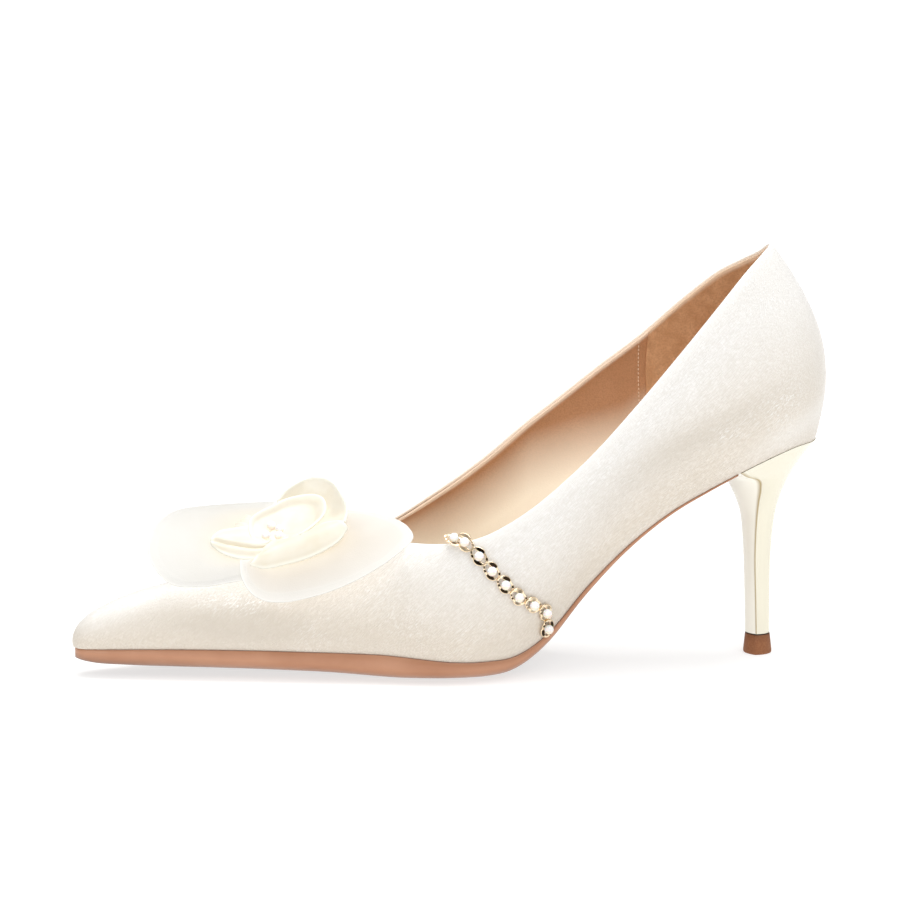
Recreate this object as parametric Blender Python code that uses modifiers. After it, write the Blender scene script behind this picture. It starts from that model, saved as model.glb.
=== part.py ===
"""High-heeled pump, left shoe: satin upper on a thin sole, plated heel, flower and chain.

The shoe stands on the floor at z = 0, toe towards -X, lateral (outer) side towards -Y.
Tables are in millimetres. "s" runs along the shoe from the back of the heel to the toe.
"""
import math
from collections import namedtuple

import bmesh
import bpy
from mathutils import Vector

MM = 0.001

# Driving sizes, in millimetres
SHOE_LENGTH = 240.0
UPPER_WALL = 1.8
MEETING_GAP = 0.3
SEAT_GAP = 0.4
SOLE_OVERHANG = 0.4
SOLE_ROUND_IN, SOLE_ROUND_IN_SHARE = 16.0, 0.3
SOLE_ROUND_UP, SOLE_ROUND_UP_SHARE = 4.6, 0.7
INSOLE_THICKNESS = 1.8
INSOLE_CLEARANCE = 0.4
LIFT_HEIGHT = 6.6
ORGANZA_THICKNESS = 0.5
SATIN_PETAL_THICKNESS = 0.8
FLOWER_S = 176.0
FLOWER_Y = -4.0
FLOWER_Z = 42.5
HEART_RADIUS = 5.0
HEART_TOP = 0.5
HEART_PEARL_RADIUS = 1.4
HEART_PEARL_SEAT = 0.6
PETAL_ROOT_GAP = 0.5
LINK_COUNT = 8
LINK_WIDTH = 5.0
LINK_WIRE_RADIUS = 0.45
CHAIN_PEARL_RADIUS = 1.6

# How finely the forms are cut into faces
ROW_CUTS = 2
UPPER_STEPS = 8
HEEL_RING_STEPS = 16
BREAST_STEPS = 6
SOLE_TOP_CUTS = 3
SOLE_ROUND_CUTS = 3
INSOLE_CUTS = 4
HEART_STEPS = 16
LINK_STEPS = 16
WIRE_STEPS = 6
SHARP_ANGLE = 40.0

# The feather edge, where upper and sole meet, from the back of the heel to the toe tip:
# half widths to each side of the shoe's axis, height, and the sole's drop below it.
Foot = namedtuple("Foot", "s lateral medial height sole_drop")
FOOT = [
    Foot(3.0, 0.0, 0.0, 70.8, 1.1),
    Foot(6.0, 11.8, 11.8, 70.9, 1.1),
    Foot(14.5, 20.0, 20.0, 70.2, 1.1),
    Foot(27.0, 23.4, 23.4, 65.7, 1.1),
    Foot(41.0, 22.4, 21.5, 58.5, 1.6),
    Foot(54.0, 20.7, 18.4, 50.7, 2.2),
    Foot(67.0, 19.6, 16.0, 40.3, 3.0),
    Foot(80.0, 20.3, 16.0, 27.6, 4.2),
    Foot(92.0, 23.4, 18.8, 14.7, 5.4),
    Foot(103.0, 27.0, 23.0, 8.2, 6.6),
    Foot(114.0, 29.8, 27.6, 7.2, 7.2),
    Foot(124.0, 30.4, 31.0, 7.5, 7.5),
    Foot(132.0, 29.3, 33.0, 8.3, 8.3),
    Foot(139.0, 27.6, 34.1, 9.0, 9.0),
    Foot(146.0, 25.7, 34.2, 9.5, 9.2),
    Foot(158.0, 23.0, 32.4, 9.8, 8.7),
    Foot(170.0, 20.2, 28.9, 9.9, 8.3),
    Foot(182.0, 17.4, 24.4, 10.0, 7.9),
    Foot(194.0, 14.7, 19.6, 10.0, 7.5),
    Foot(206.0, 12.0, 15.0, 9.9, 7.0),
    Foot(217.0, 9.5, 11.1, 9.7, 6.4),
    Foot(225.0, 7.6, 8.4, 9.5, 5.8),
    Foot(232.0, 5.8, 6.1, 9.3, 5.1),
    Foot(237.2, 3.7, 3.8, 9.2, 4.0),
    Foot(239.4, 0.0, 0.0, 9.2, 2.9),
]

# The topline of the collar, a row for each of the first feather rows, back to throat.
# turn: how far the section is swung towards the heel; rise and lean: the wall's slope at the
# feather and at the topline (90 is upright, 180 flat inwards), each with its pull as a share of
# the section's height.
Collar = namedtuple("Collar", "lat_s lat_y lat_z med_s med_y med_z turn rise rise_pull lean lean_pull")
COLLAR = [
    Collar(18.9, 0.0, 131.3, 18.9, 0.0, 131.3, 90, 75, 0.32, 130, 0.54),
    Collar(20.3, 7.8, 131.0, 20.1, 8.0, 129.6, 66, 76, 0.31, 125, 0.52),
    Collar(24.8, 15.2, 129.2, 24.0, 15.6, 126.2, 39, 79, 0.30, 114, 0.48),
    Collar(32.3, 21.6, 123.8, 31.0, 21.8, 120.9, 12, 82, 0.30, 104, 0.44),
    Collar(42.5, 25.3, 113.0, 41.5, 25.4, 112.2, 4, 83, 0.30, 98, 0.40),
    Collar(54.5, 27.6, 99.4, 54.0, 27.8, 101.0, 0, 82, 0.30, 96, 0.36),
    Collar(67.0, 29.2, 85.4, 67.0, 29.0, 91.2, 0, 80, 0.30, 95, 0.34),
    Collar(80.0, 30.2, 71.6, 80.0, 29.6, 81.1, 0, 77, 0.30, 95, 0.33),
    Collar(92.0, 30.6, 60.7, 92.0, 30.0, 71.9, 0, 75, 0.30, 95, 0.33),
    Collar(103.0, 30.2, 52.4, 103.0, 30.0, 62.9, 0, 75, 0.32, 98, 0.33),
    Collar(115.0, 28.8, 46.1, 114.0, 29.5, 55.1, 0, 76, 0.34, 107, 0.34),
    Collar(126.5, 25.2, 43.9, 124.5, 28.0, 48.9, 0, 76, 0.36, 125, 0.36),
    Collar(135.8, 18.8, 43.4, 133.5, 22.5, 44.8, 0, 76, 0.36, 148, 0.38),
    Collar(142.6, 10.4, 42.8, 141.5, 12.6, 42.9, 0, 76, 0.36, 167, 0.40),
    Collar(146.0, 0.0, 42.3, 146.0, 0.0, 42.3, 0, 76, 0.36, 180, 0.42),
]

# The vamp's ridge, a row for each feather row from the throat to the top of the toe
RIDGE_HEIGHT = [42.3, 40.0, 37.4, 34.7, 32.0, 29.3, 26.7, 24.0, 20.7]
TOE_RIDGE_FALL = 0.55
VAMP_RISE = 76.0
VAMP_RISE_PULL = 0.36
VAMP_LEAN_PULL = 0.42

# The heel from its lift up to the seat: height at mid depth, back, breast edge and breast
# front along s, half width at the breast edge, and the section's tilt up towards the back
HeelRow = namedtuple("HeelRow", "height back edge front half_width tilt")
HEEL = [
    HeelRow(LIFT_HEIGHT + MEETING_GAP, 16.1, 21.3, 23.8, 4.6, 0.0),
    HeelRow(18.0, 16.2, 21.7, 24.2, 4.6, 0.0),
    HeelRow(30.0, 16.2, 22.2, 24.7, 4.7, 0.0),
    HeelRow(39.0, 15.8, 22.3, 25.3, 5.2, 0.0),
    HeelRow(46.0, 15.0, 22.3, 26.1, 6.4, 0.03),
    HeelRow(51.0, 13.8, 22.3, 27.6, 8.2, 0.06),
    HeelRow(55.5, 12.0, 22.4, 29.5, 10.8, 0.11),
    HeelRow(59.5, 9.6, 23.8, 31.0, 14.2, 0.17),
    HeelRow(63.2, 6.5, 28.6, 31.7, 18.6, 0.24),
]
LIFT = [
    HeelRow(0.0, 15.2, 21.7, 24.3, 5.0, 0.0),
    HeelRow(1.0, 15.2, 21.7, 24.3, 5.0, 0.0),
    HeelRow(LIFT_HEIGHT, 15.9, 21.3, 23.8, 4.65, 0.0),
]
HEEL_ROUNDNESS = 2.2

# Where pieces begin and end, counted in feather rows
BREAST_ROW = 3.36
SOLE_END_ROW = 3.42
TIP_ROUNDING = 0.06
INSOLE_BACK_ROWS = [0.4, 0.7]
INSOLE_END_ROW = len(FOOT) - 3

# Chain down the lateral side: place along the feather rows and height up the wall (1 is topline)
ChainPoint = namedtuple("ChainPoint", "row climb")
CHAIN = [
    ChainPoint(10.37, 0.985),
    ChainPoint(10.05, 0.86),
    ChainPoint(9.75, 0.72),
    ChainPoint(9.40, 0.58),
    ChainPoint(9.00, 0.44),
    ChainPoint(8.55, 0.32),
    ChainPoint(8.20, 0.20),
    ChainPoint(8.15, 0.07),
]

# Lie of the flower: its tilt down to the lateral side and the droop that adds to it, both easing
# off over a distance towards the heel, where the lie also rises
FLOWER_TILT, FLOWER_TILT_AT_HEEL = 0.62, 0.32
FLOWER_DROOP, FLOWER_DROOP_AT_HEEL = 0.0140, 0.0045
FLOWER_EASE = 38.0
FLOWER_RISE = 0.18

# Petal outlines in the plan view, seen from the heart: heading from the toe towards the lateral
# side, and reach from the heart's axis
Reach = namedtuple("Reach", "heading reach")
ORGANZA_TOE = [Reach(-95, 22), Reach(-65, 29), Reach(-32, 37), Reach(0, 39.5), Reach(22, 31),
               Reach(44, 20), Reach(68, 14.5)]
ORGANZA_HEEL = [Reach(32, 13.5), Reach(58, 16.4), Reach(84, 18.6), Reach(104, 20.5), Reach(122, 25.5),
                Reach(136, 32.5), Reach(147, 41), Reach(159, 45), Reach(172, 41), Reach(187, 33.5),
                Reach(204, 25.5), Reach(226, 19.5), Reach(248, 15.5)]
ROSE_TOE = [Reach(-28, 12), Reach(-12, 16.5), Reach(4, 21), Reach(18, 20), Reach(30, 17), Reach(42, 12.5)]
ROSE_FRONT = [Reach(47, 12), Reach(62, 12.5), Reach(83, 12.5), Reach(108, 14.5), Reach(135, 18.6),
              Reach(152, 22.8), Reach(164, 22)]
ROSE_BACK = [Reach(172, 20.6), Reach(185, 21.6), Reach(203, 20.8), Reach(221, 18.8), Reach(240, 16.6),
             Reach(264, 14.2)]
ROSE_INNER = [Reach(170, 13), Reach(185, 15.2), Reach(200, 16.2), Reach(216, 15), Reach(236, 12),
              Reach(262, 10.4), Reach(290, 10.6), Reach(315, 11.3)]
HEART_PEARLS = [Reach(30, 3.5), Reach(114, 2.5), Reach(189, 1.5), Reach(297, 2.2)]

# How each petal stands over the flower's lie: height at its root, the arch half-way out, and the
# rise at the rim by its first end, last end and middle (crown), which a curl keeps back to the rim
Petal = namedtuple("Petal", "name outline root arch first last crown curl across outward")
ORGANZA_PETALS = [
    Petal("organza_petal_toe", ORGANZA_TOE, -1.3, 0.0, -0.6, -0.6, 0.0, 2.0, 14, 6),
    Petal("organza_petal_heel", ORGANZA_HEEL, 0.0, 0.0, 0.0, 0.0, 0.9, 2.0, 24, 6),
]
ROSE_PETALS = [
    Petal("rose_petal_toe", ROSE_TOE, 1.3, 0.4, 1.0, 1.0, -1.2, 1.5, 10, 6),
    Petal("rose_petal_front", ROSE_FRONT, 2.2, 2.2, 0.0, 2.2, -0.3, 1.0, 12, 6),
    Petal("rose_petal_back", ROSE_BACK, 2.2, 0.0, 1.0, 1.5, 6.6, 6.0, 12, 8),
    Petal("rose_petal_inner", ROSE_INNER, 3.5, 0.0, 1.0, 0.0, 1.0, 1.0, 14, 4),
]

Finish = namedtuple("Finish", "colour roughness metallic")
IVORY_SATIN = Finish((0.86, 0.80, 0.70), 0.45, 0.0)
PEACH_LINING = Finish((0.72, 0.45, 0.29), 0.60, 0.0)
BEIGE_SOLE = Finish((0.66, 0.36, 0.25), 0.45, 0.0)
PALE_GOLD = Finish((0.93, 0.85, 0.60), 0.12, 1.0)
CARAMEL_RUBBER = Finish((0.32, 0.13, 0.05), 0.60, 0.0)
WHITE_ORGANZA = Finish((0.93, 0.92, 0.88), 0.55, 0.0)
CREAM_SATIN = Finish((0.93, 0.87, 0.70), 0.50, 0.0)
CHAIN_GOLD = Finish((0.83, 0.62, 0.28), 0.20, 1.0)
PEARL_WHITE = Finish((0.90, 0.88, 0.84), 0.20, 0.0)

for old in list(bpy.data.objects):
    bpy.data.objects.remove(old, do_unlink=True)
shoe = bpy.data.collections.new("high_heel_shoe")
bpy.context.scene.collection.children.link(shoe)


def place(s, y, z):
    """A point of the tables as a point in metres, with the shoe's middle at x = 0."""
    return Vector(((SHOE_LENGTH / 2 - s) * MM, y * MM, z * MM))


def spline(before, start, end, after, f):
    """Smooth curve from start to end that heads past both neighbours."""
    leave = (end - before) / 2
    arrive = (after - start) / 2
    return ((2 * f**3 - 3 * f**2 + 1) * start + (f**3 - 2 * f**2 + f) * leave
            + (3 * f**2 - 2 * f**3) * end + (f**3 - f**2) * arrive)


def along(values, at):
    """Smooth curve through a row of values, read at a place counted in rows."""
    last = len(values) - 1
    i = min(int(at), last - 1)
    before = values[i - 1] if i > 0 else 2 * values[0] - values[1]
    after = values[i + 2] if i + 2 <= last else 2 * values[last] - values[last - 1]
    return spline(before, values[i], values[i + 1], after, at - i)


def around(values, at):
    """Smooth closed curve through a ring of values, read at a place counted in rows."""
    i = math.floor(at)
    before, start, end, after = (values[(i + step) % len(values)] for step in (-1, 0, 1, 2))
    return spline(before, start, end, after, at - i)


def ring(medial, lateral):
    """A closed ring of values: back to front on the medial side, then back on the lateral."""
    return list(medial) + list(lateral)[-2:0:-1]


THROAT_ROW = len(COLLAR) - 1
TOE_ROW = THROAT_ROW + len(RIDGE_HEIGHT) - 1
TIP_ROW = len(FOOT) - 1
FOOT_S = ring([row.s for row in FOOT], [row.s for row in FOOT])
FOOT_Y = ring([row.medial for row in FOOT], [-row.lateral for row in FOOT])
FOOT_Z = ring([row.height for row in FOOT], [row.height for row in FOOT])
TOP_S = ring([row.med_s for row in COLLAR], [row.lat_s for row in COLLAR])
TOP_Y = ring([row.med_y for row in COLLAR], [-row.lat_y for row in COLLAR])
TOP_Z = ring([row.med_z for row in COLLAR], [row.lat_z for row in COLLAR])
MEDIAL, LATERAL = 1, -1


def row_at(s):
    """The place in the feather rows that lies at s along the shoe."""
    low, high = 0.0, float(TIP_ROW)
    halvings = 40
    for halving in range(halvings):
        middle = (low + high) / 2
        if around(FOOT_S, middle) < s:
            low = middle
        else:
            high = middle
    return low


def foot_point(row, side, out=0.0):
    """Feather edge at a row, moved out from the outline by a distance in millimetres."""
    at = row * side
    s, y = around(FOOT_S, at), around(FOOT_Y, at)
    if out:
        step = 0.05
        ds = around(FOOT_S, at + step) - around(FOOT_S, at - step)
        dy = around(FOOT_Y, at + step) - around(FOOT_Y, at - step)
        s -= out * dy / math.hypot(ds, dy)
        y += out * ds / math.hypot(ds, dy)
    return s, y, around(FOOT_Z, row_at(s))


def wall_curve(row, side):
    """The four control points of the upper's section at a feather row."""
    foot = Vector(foot_point(row, side))
    if row <= THROAT_ROW:
        top = Vector([around(values, row * side) for values in (TOP_S, TOP_Y, TOP_Z)])
        turn, rise, rise_pull, lean, lean_pull = (
            along([getattr(line, name) for line in COLLAR], row)
            for name in ("turn", "rise", "rise_pull", "lean", "lean_pull"))
    else:
        ridge = min(row, TOE_ROW)
        top = Vector((along([line.s for line in FOOT[THROAT_ROW:TOE_ROW + 1]], ridge - THROAT_ROW),
                      0.0, along(RIDGE_HEIGHT, ridge - THROAT_ROW)))
        turn = -90.0 * (row - ridge) / (TIP_ROW - TOE_ROW)
        rise, rise_pull, lean_pull = VAMP_RISE, VAMP_RISE_PULL, VAMP_LEAN_PULL
        lean = 180.0 - math.degrees(math.atan(TOE_RIDGE_FALL * -math.sin(math.radians(turn))))
    out = Vector((-math.sin(math.radians(turn)), side * math.cos(math.radians(turn)), 0.0))
    up = Vector((0.0, 0.0, 1.0))
    rise, lean = math.radians(rise), math.radians(lean)
    span = (top - foot).length
    first = foot + (out * math.cos(rise) + up * math.sin(rise)) * span * rise_pull
    second = top - (out * math.cos(lean) + up * math.sin(lean)) * span * lean_pull
    return foot, first, second, top


def wall_point(row, side, climb):
    """Outer face of the upper: climb runs from the feather edge (0) to the topline (1)."""
    a, b, c, d = wall_curve(row, side)
    rest = 1.0 - climb
    return a * rest**3 + b * 3 * climb * rest**2 + c * 3 * climb**2 * rest + d * climb**3


def finish_material(name, finish):
    """A Principled material of one colour."""
    material = bpy.data.materials.new(name)
    material.use_nodes = True
    shader = material.node_tree.nodes["Principled BSDF"]
    shader.inputs["Base Color"].default_value = (*finish.colour, 1.0)
    shader.inputs["Roughness"].default_value = finish.roughness
    shader.inputs["Metallic"].default_value = finish.metallic
    return material


def add_object(name, mesh, finish):
    """A named piece in the shoe's collection, with its own material."""
    piece = bpy.data.objects.new(name, mesh)
    mesh.materials.append(finish_material(name + "_finish", finish))
    shoe.objects.link(piece)
    return piece


def mesh_from(name, points, faces):
    """A smooth mesh from table points and faces, its normals made consistent."""
    mesh = bpy.data.meshes.new(name)
    mesh.from_pydata([place(*point) for point in points], [], faces)
    form = bmesh.new()
    form.from_mesh(mesh)
    bmesh.ops.recalc_face_normals(form, faces=form.faces)
    form.to_mesh(mesh)
    form.free()
    mesh.shade_smooth()
    mesh.set_sharp_from_angle(angle=math.radians(SHARP_ANGLE))
    return mesh


def solidify(piece, thickness, offset):
    """Give an open surface its wall."""
    wall = piece.modifiers.new("wall", "SOLIDIFY")
    wall.thickness = thickness * MM
    wall.offset = offset
    wall.use_even_offset = True


def loft(rings, cap_start, cap_end):
    """Points and faces of a skin over closed rings of equal length, with flat caps."""
    count = len(rings[0])
    points = [point for line in rings for point in line]
    faces = []
    for line in range(len(rings) - 1):
        for i in range(count):
            j = (i + 1) % count
            faces.append((line * count + i, line * count + j,
                          (line + 1) * count + j, (line + 1) * count + i))
    if cap_start:
        faces.append(tuple(range(count)))
    if cap_end:
        faces.append(tuple(range(len(points) - count, len(points))))
    return points, faces


def build_upper():
    """The satin upper: one wall over the last, open at the collar and along the feather edge."""
    columns = [(i / ROW_CUTS, MEDIAL) for i in range(TIP_ROW * ROW_CUTS + 1)]
    columns += [(i / ROW_CUTS, LATERAL) for i in range(TIP_ROW * ROW_CUTS - 1, 0, -1)]
    points, ridge, grid = [], {}, []
    for row, side in columns:
        line = []
        for step in range(UPPER_STEPS + 1):
            key = min(row, TOE_ROW)
            on_ridge = step == UPPER_STEPS and row >= THROAT_ROW
            if on_ridge and key in ridge:
                line.append(ridge[key])
                continue
            if on_ridge:
                ridge[key] = len(points)
            line.append(len(points))
            points.append(wall_point(row, side, step / UPPER_STEPS))
        grid.append(line)
    faces = []
    for i, line in enumerate(grid):
        after = grid[(i + 1) % len(grid)]
        for step in range(UPPER_STEPS):
            corners = [line[step], after[step], after[step + 1], line[step + 1]]
            faces.append(tuple(dict.fromkeys(corners)))
    upper = add_object("upper", mesh_from("upper", points, faces), IVORY_SATIN)
    solidify(upper, UPPER_WALL, -1.0)


def build_outsole():
    """The sole from the heel breast to the toe: flat tread under the ball, rounded lower edge."""
    bottoms = [row.height - row.sole_drop for row in FOOT]
    first_row = math.floor(SOLE_END_ROW * ROW_CUTS) + 1
    rows = [i / ROW_CUTS for i in range(first_row, TIP_ROW * ROW_CUTS)]
    rows = [SOLE_END_ROW] + rows + [TIP_ROW - TIP_ROUNDING]
    rings = []
    for row in rows:
        lateral = foot_point(row, LATERAL, SOLE_OVERHANG)
        medial = foot_point(row, MEDIAL, SOLE_OVERHANG)
        width = medial[1] - lateral[1]
        inset = min(SOLE_ROUND_IN, SOLE_ROUND_IN_SHARE * width)
        thickness = (lateral[2] + medial[2]) / 2 - MEETING_GAP - max(0.0, along(bottoms, row))
        lift = min(SOLE_ROUND_UP, SOLE_ROUND_UP_SHARE * thickness)

        def across(share, rise):
            """A point from the lateral (0) to the medial (1) edge, by its rise over the underside."""
            s = lateral[0] + (medial[0] - lateral[0]) * share
            if rise is None:
                height = lateral[2] + (medial[2] - lateral[2]) * share - MEETING_GAP
            else:
                height = max(0.0, along(bottoms, row_at(s))) + rise
            return s, lateral[1] + width * share, height

        line = [across(i / SOLE_TOP_CUTS, None) for i in range(SOLE_TOP_CUTS + 1)]
        turns = [math.pi / 2 * i / SOLE_ROUND_CUTS for i in range(SOLE_ROUND_CUTS + 1)]
        rounding = [(inset * (1 - math.cos(turn)), lift * (1 - math.sin(turn))) for turn in turns]
        line += [across(1 - shift / width, rise) for shift, rise in rounding]
        line.append(across(0.5, 0.0))
        line += [across(shift / width, rise) for shift, rise in reversed(rounding)]
        rings.append(line)
    points, faces = loft(rings, True, True)
    add_object("outsole", mesh_from("outsole", points, faces), BEIGE_SOLE)


def build_insole():
    """The covered insole inside the upper, from the heel seat to the toe."""
    inset = -(UPPER_WALL + INSOLE_CLEARANCE)
    rows = INSOLE_BACK_ROWS + [i / ROW_CUTS for i in range(ROW_CUTS, ROW_CUTS * INSOLE_END_ROW + 1)]
    rings = []
    for row in rows:
        lateral = Vector(foot_point(row, LATERAL, inset))
        medial = Vector(foot_point(row, MEDIAL, inset))
        cover = Vector((0.0, 0.0, INSOLE_THICKNESS))
        line = [lateral.lerp(medial, i / INSOLE_CUTS) + cover for i in range(INSOLE_CUTS + 1)]
        line += [lateral.lerp(medial, i / INSOLE_CUTS) for i in range(INSOLE_CUTS, -1, -2)]
        rings.append(line)
    points, faces = loft(rings, True, True)
    add_object("insole", mesh_from("insole", points, faces), PEACH_LINING)


def heel_ring(row):
    """A D-shaped section: round back from edge to edge, and a slightly full breast."""
    middle = (row.back + row.front) / 2
    line = []
    for step in range(HEEL_RING_STEPS + 1):
        turn = math.pi * step / HEEL_RING_STEPS
        depth = max(math.sin(turn), 0.0) ** (2 / HEEL_ROUNDNESS)
        across = math.copysign(abs(math.cos(turn)) ** (2 / HEEL_ROUNDNESS), math.cos(turn))
        line.append((row.edge - (row.edge - row.back) * depth, -row.half_width * across))
    for step in range(1, BREAST_STEPS):
        across = 1 - 2 * step / BREAST_STEPS
        line.append((row.edge + (row.front - row.edge) * (1 - across**2), row.half_width * across))
    return [(s, y, row.height + row.tilt * (middle - s)) for s, y in line]


def build_heel():
    """The slim plated heel, flaring up to the seat that the upper and insole stand on."""
    rings = [heel_ring(row) for row in HEEL]
    seat = []
    for step in range(HEEL_RING_STEPS + 1):
        row = BREAST_ROW * abs(1 - 2 * step / HEEL_RING_STEPS)
        side = LATERAL if step < HEEL_RING_STEPS / 2 else MEDIAL
        s, y, z = foot_point(row, side, SOLE_OVERHANG / 2)
        seat.append((s, y, z - MEETING_GAP))
    for step in range(1, BREAST_STEPS):
        share = step / BREAST_STEPS
        seat.append(tuple(a + (b - a) * share for a, b in zip(seat[HEEL_RING_STEPS], seat[0])))
    rings.append(seat)
    points, faces = loft(rings, True, False)
    base = len(points) - len(seat)
    last = HEEL_RING_STEPS
    front = [base + i for i in range(last, len(seat))]
    faces.append(tuple(front + [base, base + 1, base + last - 1]))
    for i in range(1, last // 2 - 1):
        faces.append((base + i, base + i + 1, base + last - i - 1, base + last - i))
    faces.append((base + last // 2 - 1, base + last // 2, base + last // 2 + 1))
    add_object("heel", mesh_from("heel", points, faces), PALE_GOLD)


def build_top_lift():
    """The rubber top lift under the heel, a little wider at the floor."""
    points, faces = loft([heel_ring(row) for row in LIFT], True, True)
    add_object("top_lift", mesh_from("top_lift", points, faces), CARAMEL_RUBBER)


def vamp_height(s, y):
    """Height of the vamp's outer face at a place in the plan view."""
    side = MEDIAL if y > 0 else LATERAL
    rows = [line.s for line in FOOT]
    start = max(i for i in range(TIP_ROW) if rows[i] <= s)
    row = start + (s - rows[start]) / (rows[start + 1] - rows[start])
    steps, bulge = 40, 12
    before = wall_point(row, side, bulge / steps)
    for step in range(bulge + 1, steps + 1):
        here = wall_point(row, side, step / steps)
        if abs(here.y) <= abs(y) < abs(before.y):
            share = (abs(before.y) - abs(y)) / (abs(before.y) - abs(here.y))
            return before.z + (here.z - before.z) * share
        before = here
    return before.z


def flower_plane(s, y):
    """The flower's lie: tilted to the lateral side, and rising a little towards the heel."""
    near = FLOWER_Y - y
    towards_heel = max(0.0, FLOWER_S - s)
    eased = min(1.0, towards_heel / FLOWER_EASE)
    tilt = FLOWER_TILT + (FLOWER_TILT_AT_HEEL - FLOWER_TILT) * eased
    droop = FLOWER_DROOP + (FLOWER_DROOP_AT_HEEL - FLOWER_DROOP) * eased
    return FLOWER_Z + FLOWER_RISE * towards_heel - tilt * near - droop * near**2


def petal_point(heading, reach, raised):
    """A point of a petal: heading and reach from the heart, height over the flower's lie."""
    turn = math.radians(heading)
    s = FLOWER_S + reach * math.cos(turn)
    y = FLOWER_Y - reach * math.sin(turn)
    return s, y, flower_plane(s, y) + raised


def build_petal(petal, thickness, finish):
    """A petal from the heart out to its outline."""
    root = HEART_RADIUS + PETAL_ROOT_GAP
    points, faces = [], []
    for i in range(petal.across + 1):
        at = i / petal.across
        row = (len(petal.outline) - 1) * at
        heading = along([line.heading for line in petal.outline], row)
        reach = along([line.reach for line in petal.outline], row)
        rim = petal.first * (1 - at) + petal.last * at + petal.crown * math.sin(math.pi * at)
        for j in range(petal.outward + 1):
            out = j / petal.outward
            raised = petal.root + petal.arch * math.sin(math.pi * out) + rim * out**petal.curl
            points.append(petal_point(heading, root + (reach - root) * out, raised))
    for i in range(petal.across):
        for j in range(petal.outward):
            corner = i * (petal.outward + 1) + j
            faces.append((corner, corner + 1, corner + petal.outward + 2, corner + petal.outward + 1))
    sheet = add_object(petal.name, mesh_from(petal.name, points, faces), finish)
    solidify(sheet, thickness, 0.0)


def build_flower():
    """Two stiff organza petals, four satin petals over them, the sewn heart and its pearls."""
    low, high = [], []
    for i in range(HEART_STEPS):
        s, y, top = petal_point(360 * i / HEART_STEPS, HEART_RADIUS, HEART_TOP)
        low.append((s, y, vamp_height(s, y) + SEAT_GAP))
        high.append((s, y, top))
    points, faces = loft([low, high], False, True)
    faces += [(i, (i + 1) % HEART_STEPS, len(points)) for i in range(HEART_STEPS)]
    points.append((FLOWER_S, FLOWER_Y, vamp_height(FLOWER_S, FLOWER_Y) + SEAT_GAP))
    add_object("flower_heart", mesh_from("flower_heart", points, faces), CREAM_SATIN)

    for petal in ORGANZA_PETALS:
        build_petal(petal, ORGANZA_THICKNESS, WHITE_ORGANZA)
    for petal in ROSE_PETALS:
        build_petal(petal, SATIN_PETAL_THICKNESS, CREAM_SATIN)

    for number, pearl in enumerate(HEART_PEARLS, start=1):
        seat = HEART_TOP + HEART_PEARL_SEAT + HEART_PEARL_RADIUS
        add_pearl(f"flower_pearl_{number}", place(*petal_point(pearl.heading, pearl.reach, seat)),
                  HEART_PEARL_RADIUS)


def add_pearl(name, centre, radius):
    """A round pearl."""
    mesh = bpy.data.meshes.new(name)
    form = bmesh.new()
    bmesh.ops.create_uvsphere(form, u_segments=10, v_segments=7, radius=radius * MM)
    form.to_mesh(mesh)
    form.free()
    mesh.shade_smooth()
    pearl = add_object(name, mesh, PEARL_WHITE)
    pearl.location = centre


def add_link(name, centre, ahead, normal, length):
    """An oval chain link lying on the upper, its long way along the chain."""
    half_long = length / 2 - LINK_WIRE_RADIUS
    half_wide = LINK_WIDTH / 2 - LINK_WIRE_RADIUS
    beside = normal.cross(ahead).normalized()
    rings = []
    for i in range(LINK_STEPS):
        turn = 2 * math.pi * i / LINK_STEPS
        middle = centre + ahead * half_long * math.cos(turn) + beside * half_wide * math.sin(turn)
        outward = (ahead * half_wide * math.cos(turn) + beside * half_long * math.sin(turn)).normalized()
        rings.append([middle + (outward * math.cos(2 * math.pi * j / WIRE_STEPS)
                                + normal * math.sin(2 * math.pi * j / WIRE_STEPS)) * LINK_WIRE_RADIUS
                      for j in range(WIRE_STEPS)])
    points, faces = loft(rings + rings[:1], False, False)
    count = LINK_STEPS * WIRE_STEPS
    faces = [tuple(corner % count for corner in face) for face in faces]
    add_object(name, mesh_from(name, points[:count], faces), CHAIN_GOLD)


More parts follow.
